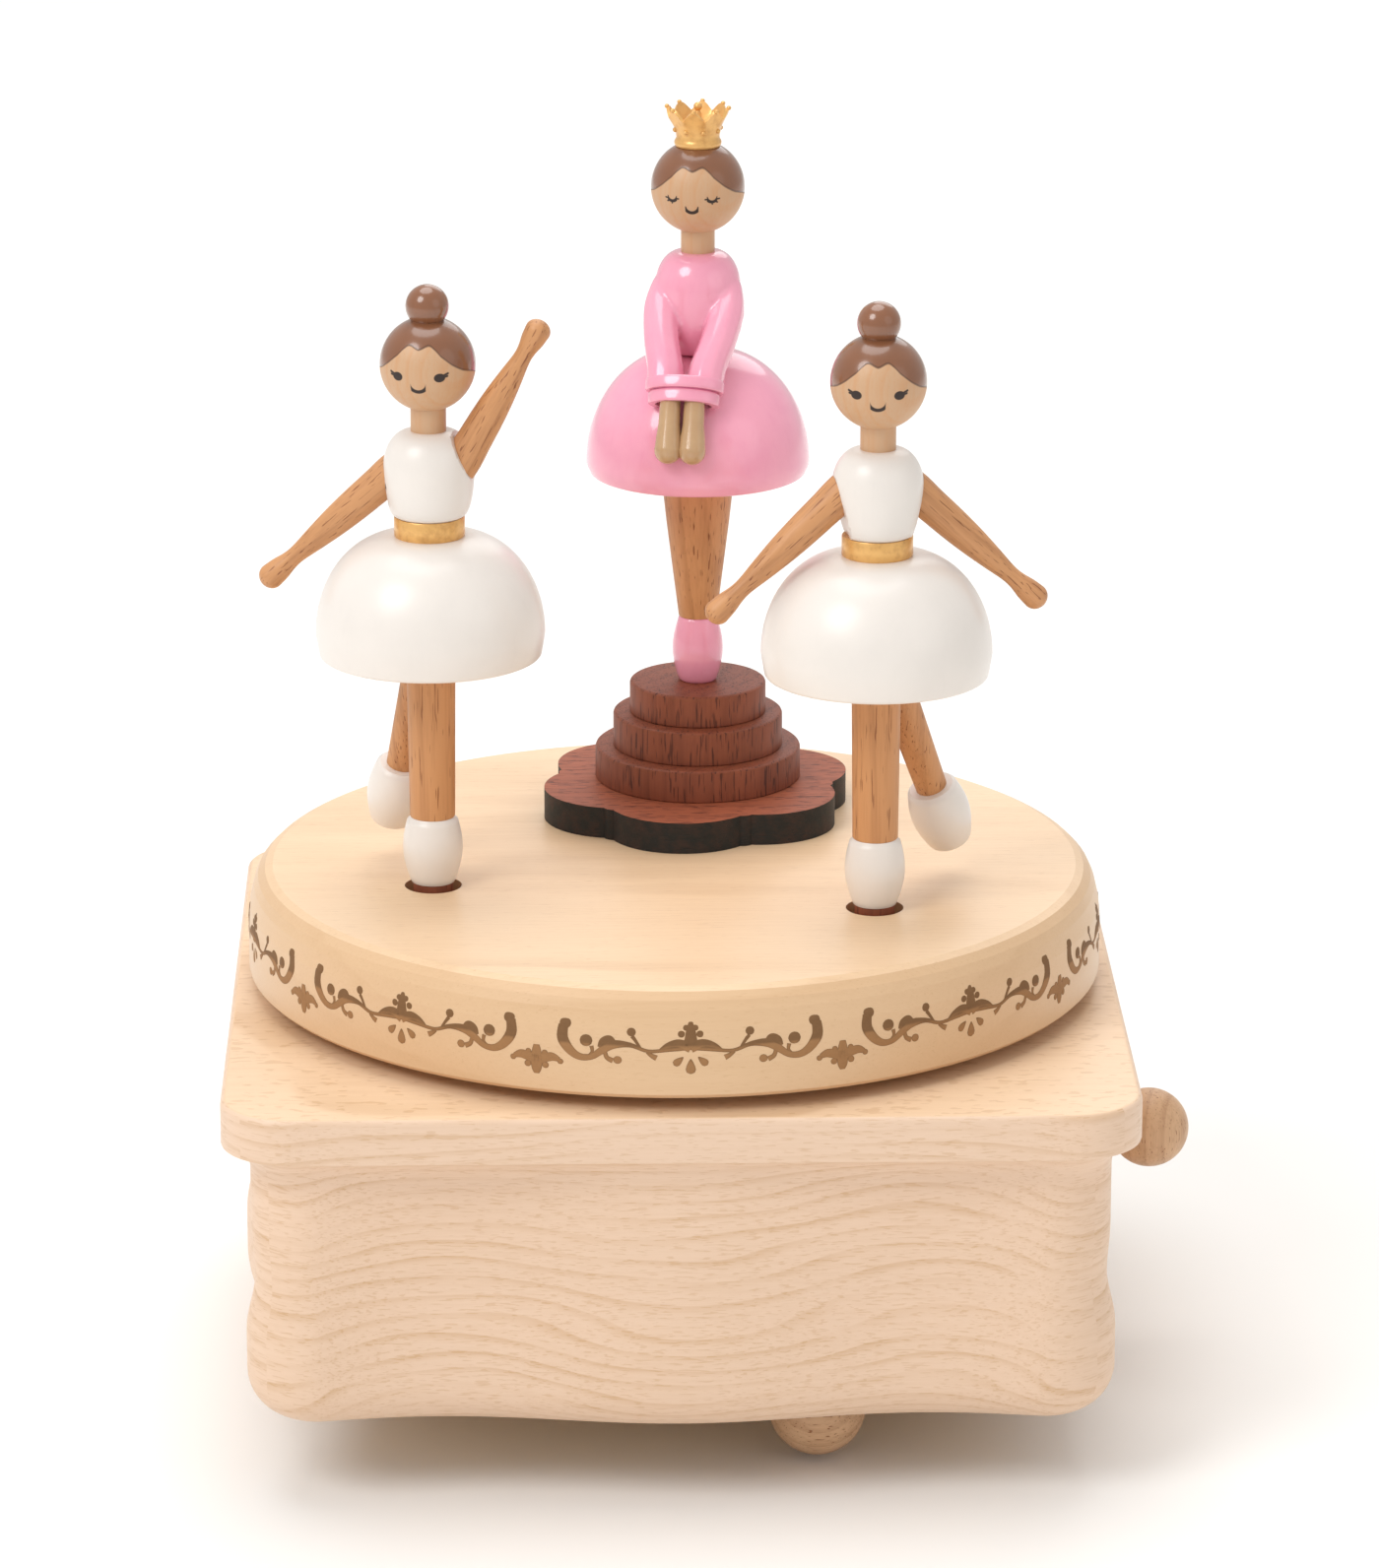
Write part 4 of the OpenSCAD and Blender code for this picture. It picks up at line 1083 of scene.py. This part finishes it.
class MUSICBOX_OT_pedestal(Maker):
    """The lobed plaque and its three turned steps"""
    bl_idname = "musicbox.pedestal"
    bl_label = "Pedestal"

    def make(self):
        c = self.colours
        centre = middle("pedestal_tier_small")

        def edge_burn(sh):
            side = sh.step(abs(sh.facing(2)), 0.9, 0.6)
            x, y, z = sh.place()
            ragged = sh.noise((x, y, z), 0.5, 3.0)
            return sh.math("MINIMUM", side * (ragged * 0.25 + 0.85), 1.0)

        plaque = open_wood("plaque wood", shaded(c.red_wood, 1.4), c.red_pores, grain="X", length_mm=2.2,
                           width_mm=0.3, share=0.10, gloss=0.6, burnt=(c.char, edge_burn), streak=0.4)
        dress(plaque, "pedestal_plaque")
        steps = open_wood("step wood", c.red_wood, c.red_pores, (centre.x, centre.y, 0), 0.0, "Z", 4.0, 0.3,
                          0.10, 0.55, streak=0.75)
        for name in ("large", "middle", "small"):
            low, high = box("pedestal_tier_" + name)
            radius = (high.x - low.x) / 2
            step = lathe("step_" + name, [(0, low.z), (radius - 0.15, low.z), (radius, low.z + 0.15),
                                          (radius, high.z - 0.45), (radius - 0.1, high.z - 0.2),
                                          (radius - 0.3, high.z - 0.05), (radius - 0.5, high.z), (0, high.z)],
                         at(centre.x, centre.y, 0), 128, 30)
            show(step, "stage", "dark_wood", steps, "pedestal_tier_" + name)


class MUSICBOX_OT_crowned_dancer(Maker):
    """The crowned dancer on the pedestal"""
    bl_idname = "musicbox.crowned_dancer"
    bl_label = "Crowned dancer"

    # roughness, coat, its roughness and the depth of the peel
    LACQUER = (0.22, 0.8, 0.08, 0.015)
    # heights above the disc
    HEAD_Z = 91.3
    CROWN_Z = 97.2
    NECK_R = 2.4
    CROWN_POINTS = 8
    CROWN_STEPS = 96

    def make(self):
        c = self.colours
        centre = middle("pedestal_tier_small")
        turn = self.sizes.crowned_turn
        stand = at(centre.x, centre.y, STAGE_Z) @ Matrix.Rotation(turn, 4, "Z")
        pink = painted("pink lacquer", c.pink, c.deep_pink, *self.LACQUER)
        foot, ankle = heights("queen_shoe", STAGE_Z)
        skirt_low, skirt_top = heights("queen_skirt", STAGE_Z)
        side = [(2.7 + 0.95 * sin(pi * i / 20), foot + (ankle - foot) * i / 20) for i in range(1, 20)]
        shoe = lathe("pink_slipper", [(0, foot), (2.5, foot), (2.7, foot + 0.15), *side,
                                      (2.72, ankle - 0.15), (2.55, ankle), (0, ankle)], stand)
        show(shoe, "stage", "pink_paint", pink, "queen_shoe")
        leg = lathe("crowned_leg", [(0, ankle), (2.7, ankle), (2.75, ankle + 0.1), (3.5, ankle + 6),
                                    (4.5, ankle + 14), (5.3, skirt_low), (5.6, skirt_low + 3),
                                    (0, skirt_low + 3)], stand)
        show(leg, "stage", "limb_wood", limb_wood("crowned leg wood", c, centre, share=0.05), "queen_leg")
        skirt = lathe("pink_skirt", dome(16, skirt_low, skirt_top, 2.6, 1.5, 36), stand, 128)
        show(skirt, "stage", "pink_paint", pink, "queen_skirt")
        self.bodice(stand, skirt_top, pink)
        self.hands(stand)
        radius, neck = self.sizes.crowned_head_width / MM / 2, self.NECK_R
        cut = degrees(asin((self.CROWN_Z - self.HEAD_Z) / radius))
        low_edge = -degrees(acos(neck / radius))
        head = lathe("crowned_head", [(0, 80), (neck, 80), (neck, 82.4), (neck, 84.2),
                                      *ball(radius, self.HEAD_Z, low_edge, cut, 44), (0, self.CROWN_Z)],
                     stand, 128, 30)
        spot = (centre.x, centre.y, STAGE_Z + self.HEAD_Z)
        show(head, "stage", "face_wood",
             head_paint("crowned face", c, spot, turn + radians(1), radius, closed_eyes=True),
             "queen_head")
        self.crown(stand)

    def bodice(self, stand, low, pink):
        """A turned torso and two sleeves, grown into one skin."""
        torso = lathe("torso", egg(4.3, low, 6.15, 76.6, 2.75, 82.0))
        sleeves = []
        for side in (-1, 1):
            path = eased([(4.0 * side, -0.6, 77.0, 2.5), (4.6 * side, -3.6, 74.2, 2.65),
                          (4.1 * side, -7.4, 70.8, 2.6), (3.1 * side, -10.4, 67.6, 2.65),
                          (2.75 * side, -12.1, 65.2, 2.75)], 6)
            sleeves.append(rods("sleeve", [[(p[:3], p[3]) for p in path]]))
        body = joined([torso, *sleeves])
        modify(body, "REMESH", mode="VOXEL", voxel_size=0.24 * MM)
        modify(body, "SMOOTH", factor=0.5, iterations=14)
        body = settle(body, "bodice_and_sleeves", stand, 60)
        show(body, "stage", "pink_paint", pink, "queen_bodice")
        self.cuffs(stand)

    def cuffs(self, stand):
        """Two flat bands round both wrists, the lower one narrower, and a dark line between them."""
        pink, dark = self.colours.pink, self.colours.deep_pink
        lean = at(0, -12.6, 64.2) @ Matrix.Rotation(radians(-28), 4, "X")
        bands = []
        for low, high, width, depth in [(0.2, 1.9, 5.6, 3.6), (-1.7, 0.0, 5.1, 3.2)]:
            outline = [(0.78, low), (0.97, low), (0.99, low + 0.1), (1.0, low + 0.3), (1.0, high - 0.3),
                       (0.99, high - 0.1), (0.97, high), (0.78, high), (0.78, low)]
            band = lathe("band", [(r * width, h) for r, h in outline])
            band.scale = (1, depth / width, 1)
            bands.append(settle(band, "band", lean))
        groove = lathe("groove", [(0.7, -0.1), (4.7, -0.1), (4.7, 0.3), (0.7, 0.3)])
        groove.scale = (1, 3.1 / 4.75, 1)
        settle(groove, "groove", lean)
        cuffs = settle(joined(bands), "double_cuffs", stand, 35)
        show(cuffs, "stage", "pink_paint", painted("cuff lacquer", shaded(pink, 0.97), dark, *self.LACQUER))
        line = settle(groove, "cuff_groove", stand, 35)
        show(line, "stage", "pink_paint", painted("cuff line", dark, shaded(dark, 0.7), 0.35, 0.3))

    def hands(self, stand):
        """Two rounded hands, side by side and hanging down."""
        c = self.colours
        fingers = []
        lean = Matrix.Rotation(radians(-19), 4, "X")
        for side in (-1, 1):
            finger = lathe("hand", [(0, -1.95), *ball(1.95, 0, -88.0, 15.0, 14), (1.78, 1.9), (1.55, 3.6),
                                    (1.45, 7.5), (0, 7.5)])
            finger.scale = (1, 0.95, 1)
            fingers.append(settle(finger, "hand", at(side * 1.72, -16.5, 56.9) @ lean))
        hands = settle(joined(fingers), "joined_hands", stand, 50)
        show(hands, "stage", "skin_paint",
             painted("hand lacquer", c.hands, c.limb_pores, 0.25, 0.7, 0.1, 0.01), "queen_hands")

    def crown(self, stand):
        """A flared ring with points, a beaded band and a small finial."""
        points, steps = self.CROWN_POINTS, self.CROWN_STEPS
        profile = [(3.15, 0.0), (3.32, 0.25), (3.36, 0.6), (3.2, 0.95), (3.05, 1.2), (3.15, 2.0), (3.45, 3.0),
                   (3.95, 4.1), (4.35, 5.0)]
        rings = []
        for k, (radius, height) in enumerate(profile):
            rise = max(0.0, (k - 4) / 4)
            ring = []
            for i in range(steps):
                a = tau * i / steps
                peak = abs(cos(points * a / 2)) ** 1.6
                ring.append((a, radius + 0.25 * rise * (peak - 0.5), height + rise ** 1.5 * (1.3 * peak - 0.9)))
            rings.append(ring)
        begin()
        bpy.ops.mesh.primitive_circle_add(vertices=steps, radius=1.0)
        crown = bpy.context.active_object
        bpy.ops.object.mode_set(mode="EDIT")
        for _ in rings[1:]:
            bpy.ops.mesh.extrude_edges_move(TRANSFORM_OT_translate={"value": (0, 0, 1)})
        bpy.ops.object.mode_set(mode="OBJECT")
        for vertex in crown.data.vertices:
            spot = round(atan2(vertex.co.y, vertex.co.x) / tau * steps) % steps
            a, radius, height = rings[round(vertex.co.z)][spot]
            vertex.co = Vector((radius * cos(a), radius * sin(a), height)) * MM
        edit(crown)
        bpy.ops.mesh.normals_make_consistent(inside=False)
        bpy.ops.object.mode_set(mode="OBJECT")
        modify(crown, "SOLIDIFY", thickness=0.45 * MM, offset=-1)
        finial = [(0, 0), (3.1, 0), (3.1, 1.1), (0.8, 1.4), (0.55, 3.0), (0.5, 4.6), (0.35, 4.9),
                  *ball(0.62, 5.6, -60.0, 90.0, 10)]
        parts = [crown, lathe("finial", finial)]
        for i in range(points):
            # a bead on each point, and a stud between two points
            for size, shift, reach, height in [(0.34, 0, 4.42, 5.5), (0.36, 0.5, 3.3, 2.4)]:
                a = tau * (i + shift) / points
                spot = at(reach * cos(a), reach * sin(a), height)
                parts.append(lathe("bead", ball(size, 0, -90.0, 90.0, 8), spot, 16))
        crown = settle(joined(parts), "gilt_crown", stand @ at(0, 0, self.CROWN_Z), 40)
        show(crown, "stage", "gold_paint", gilt("crown gold", self.colours.gold), "queen_crown")


class MUSICBOX_OT_dancers(Maker):
    """The two dancers in white, each on its own turning peg"""
    bl_idname = "musicbox.dancers"
    bl_label = "Dancers"

    HIP = Vector((0, 2.5, 40))
    FOOT_Z, FOOT_H = 0.6, 9.6
    HEAD_Z, NECK_R = 75, 2.45
    BUN_Z, BUN_R = 83.1, 3.0
    # each arm: its flat on the torso as (side, lean, height, distance out), its shoulder and its palm
    RAISED = ((1, -25, 61.8, 5.1), (5, -0.5, 62), (16.1, -0.5, 81.5))
    LOWERED = ((-1, 8, 58.5, 5.6), (-5, 0, 59.5), (-23.5, 0, 42.9))
    LEFT_OUT = ((-1, 14, 58.8, 5.4), (-5, 0, 59.6), (-23.3, 0, 42.6))
    RIGHT_OUT = ((1, 14, 58.8, 5.4), (5, 0, 59.6), (23.3, 0, 42.6))

    def make(self):
        c = self.colours
        self.white = painted("white paint", c.white, shaded(c.white, 0.86), 0.35, 0.3, 0.25)
        self.gold = gilt("belt gold", c.gold)
        self.hair = painted("bun paint", c.hair, shaded(c.hair, 0.55), 0.22, 0.8, 0.08, 0.015)
        self.dancer("left", self.sizes.left_turn, -1.5, (-6.4, 10.5, 13.9),
                    {"raised_arm": self.RAISED, "lowered_arm": self.LOWERED})
        self.dancer("right", self.sizes.right_turn, -12.5, (10.3, 10.5, 13.4),
                    {"left_arm": self.LEFT_OUT, "right_arm": self.RIGHT_OUT})

    def dancer(self, side, turn, gaze, ankle, arms):
        """One dancer: gaze turns the face in degrees, and ankle is where the raised leg ends."""
        body = side + "_dancer"
        axis = axis_of(side + "_dancer_spin")
        stand = at(axis.x, axis.y, STAGE_Z) @ Matrix.Rotation(turn, 4, "Z")
        low, skirt_top = heights(side + "_skirt", STAGE_Z)
        waist = heights(side + "_belt", STAGE_Z)[1]
        inside = low + 3
        heel = self.FOOT_Z + self.FOOT_H
        wood = limb_wood(side + " leg wood", self.colours, axis, turn)
        leg = lathe(side + "_leg", [(0, heel), (3.05, heel), (3.15, heel + 0.12), (3.42, low), (3.45, inside),
                                    (0, inside)], stand)
        show(leg, body, "limb_wood", wood, side + "_standing_leg")

        v = self.HIP - Vector(ankle)
        swing, lift = atan2(v.x, v.z), -atan2(v.y, hypot(v.x, v.z))
        raised = at(*ankle) @ Matrix.Rotation(swing, 4, "Y") @ Matrix.Rotation(lift, 4, "X")
        back = lathe(side + "_back_leg", [(0, 0.6), (2.2, 0.6), (2.9, v.length + 4), (0, v.length + 4)], raised)
        halve(back, (0, 0, inside * MM), (0, 0, 1))
        show(settle(back, side + "_back_leg", stand), body, "limb_wood", wood, side + "_raised_leg")
        standing = lathe("slipper", slipper(self.FOOT_H), at(0, 0, self.FOOT_Z))
        hanging = lathe("slipper", slipper(self.FOOT_H), raised @ at(0, 0, 0.6 - self.FOOT_H))
        shoes = settle(joined([standing, hanging]), side + "_slippers", stand, 35)
        show(shoes, body, "white_paint", self.white, side + "_shoes")

        skirt = lathe(side + "_white_skirt", dome(15.9, low, skirt_top, 4.9, 3.2, 36), stand, 128)
        show(skirt, body, "white_paint", self.white, side + "_skirt")
        belt = lathe(side + "_gilt_belt", [(0, skirt_top), (4.8, skirt_top), (4.9, skirt_top + 0.15),
                                           (4.9, waist - 0.15), (4.8, waist), (0, waist)], stand)
        show(belt, body, "gold_paint", self.gold, side + "_belt")
        torso = lathe("torso", egg(4.75, waist, 6.3, 60.4, 2.75, 65.6), at(0, 0, 0), 128)
        for name, (flat, shoulder, palm) in arms.items():
            point, normal = self.flat(*flat)
            halve(torso, point, normal)
            arm = self.arm(Vector(shoulder), Vector(palm))
            halve(arm, point, -normal)
            arm = settle(arm, f"{side}_{name}_turned", stand)
            show(arm, body, "limb_wood", self.arm_wood(f"{side} {name} wood", axis, turn, shoulder, palm),
                 f"{side}_{name}")
        torso = settle(torso, side + "_white_bodice", stand, 35)
        show(torso, body, "white_paint", self.white, side + "_torso")

        radius, neck = self.sizes.head_width / MM / 2, self.NECK_R
        low_edge = -degrees(acos(neck / radius))
        head = lathe(side + "_face", [(0, 64), (neck, 64), (neck, 66), (neck, 68),
                                      *ball(radius, self.HEAD_Z, low_edge, 90.0, 48)], stand, 128, 30)
        spot = (axis.x, axis.y, STAGE_Z + self.HEAD_Z)
        face = head_paint(side + " face", self.colours, spot, turn + radians(gaze), radius)
        show(head, body, "face_wood", face, side + "_head")
        bun = lathe(side + "_hair_bun", ball(self.BUN_R, self.BUN_Z, -62.0, 90.0, 30), stand, 64)
        edit(bun)
        bpy.ops.mesh.region_to_loop()
        bpy.ops.mesh.edge_face_add()
        outward()
        show(settle(bun, side + "_hair_bun"), body, "hair_paint", self.hair, side + "_bun")

    def flat(self, side, lean, height, out):
        """The plane where an arm meets the torso: a point on it and its outward normal."""
        normal = Matrix.Rotation(radians(side * lean), 3, "Y") @ Vector((side, 0, 0))
        return Vector((side * out, 0, height)) * MM, normal

    def arm(self, shoulder, palm):
        """A turned arm: full at the shoulder, slim at the wrist, with a rounded hand."""
        reach = (palm - shoulder).length
        knots = [(-4, 2.4), (0, 2.6), (3, 2.45), (reach * 0.3, 2.3), (reach * 0.45, 2.05), (reach * 0.6, 1.65),
                 (reach * 0.73, 1.25), (reach * 0.8, 1.3), (reach * 0.87, 1.62), (reach * 0.94, 1.78)]
        outline = [(0, -4)] + [(r, h) for h, r in eased(knots, 4)]
        base, tip = reach * 0.94, (reach - reach * 0.94) * 1.1
        outline += [(1.78 * cos(a), base + tip * sin(a)) for a in quarter(8)[1:-1]]
        outline.append((0, base + tip))
        aim = (palm - shoulder).to_track_quat("Z", "Y").to_matrix().to_4x4()
        return lathe("arm", outline, at(*shoulder) @ aim, 64)

    def arm_wood(self, name, axis, turn, shoulder, palm):
        """The limb wood with its pores along the arm."""
        c = self.colours
        sh = Shader(name)
        x, y, z = sh.place(turn, (axis.x, axis.y, STAGE_Z))
        run = (Vector(palm) - Vector(shoulder)).normalized()
        up = Vector((-run.z, 0, run.x))
        place = (x * run.x + z * run.z, x * up.x + z * up.z, y)
        late, fibre = grained(sh, place, (-30, 22), 2.4, 0.5)
        pores = flecks(sh, place, 4.0, 0.24, 0.055)
        band = sh.streaks(place, (0.08, 0.6, 0.6), 3.0, 0.6)
        tone = pores * 0.75 + late * 0.2 + sh.step(fibre, 0.4, 0.7) * 0.18 + (band - 0.5) * 0.9
        tint = sh.mix(sh.share(tone), c.limb_wood, c.limb_pores)
        return sh.finish(color=tint, roughness=fibre * 0.15 + 0.42, coat=0.12, coat_roughness=0.35,
                         normal=sh.bump(fibre * 0.4 - pores, 0.1, 0.5))


class MUSICBOX_PT_panel(bpy.types.Panel):
    """The box's pieces, in the order in which they are made"""
    bl_label = "Music box"
    bl_space_type = "VIEW_3D"
    bl_region_type = "UI"
    bl_category = "Music box"

    def draw(self, context):
        for maker in MAKERS:
            self.layout.operator(maker.bl_idname)
        for group in (context.scene.music_box_sizes, context.scene.music_box_colours):
            for name in group.__annotations__:
                self.layout.prop(group, name)


MAKERS = (MUSICBOX_OT_stage, MUSICBOX_OT_case, MUSICBOX_OT_drawer, MUSICBOX_OT_movement, MUSICBOX_OT_turntable,
          MUSICBOX_OT_pedestal, MUSICBOX_OT_crowned_dancer, MUSICBOX_OT_dancers)
CLASSES = (MusicBoxSizes, MusicBoxColours, *MAKERS, MUSICBOX_PT_panel)


def register():
    for cls in CLASSES:
        bpy.utils.register_class(cls)
    bpy.types.Scene.music_box_sizes = bpy.props.PointerProperty(type=MusicBoxSizes)
    bpy.types.Scene.music_box_colours = bpy.props.PointerProperty(type=MusicBoxColours)


def unregister():
    del bpy.types.Scene.music_box_colours
    del bpy.types.Scene.music_box_sizes
    for cls in reversed(CLASSES):
        bpy.utils.unregister_class(cls)


def main():
    register()
    for maker in MAKERS:
        group, name = maker.bl_idname.split(".")
        getattr(getattr(bpy.ops, group), name)()
    begin()


if __name__ == "__main__":
    main()
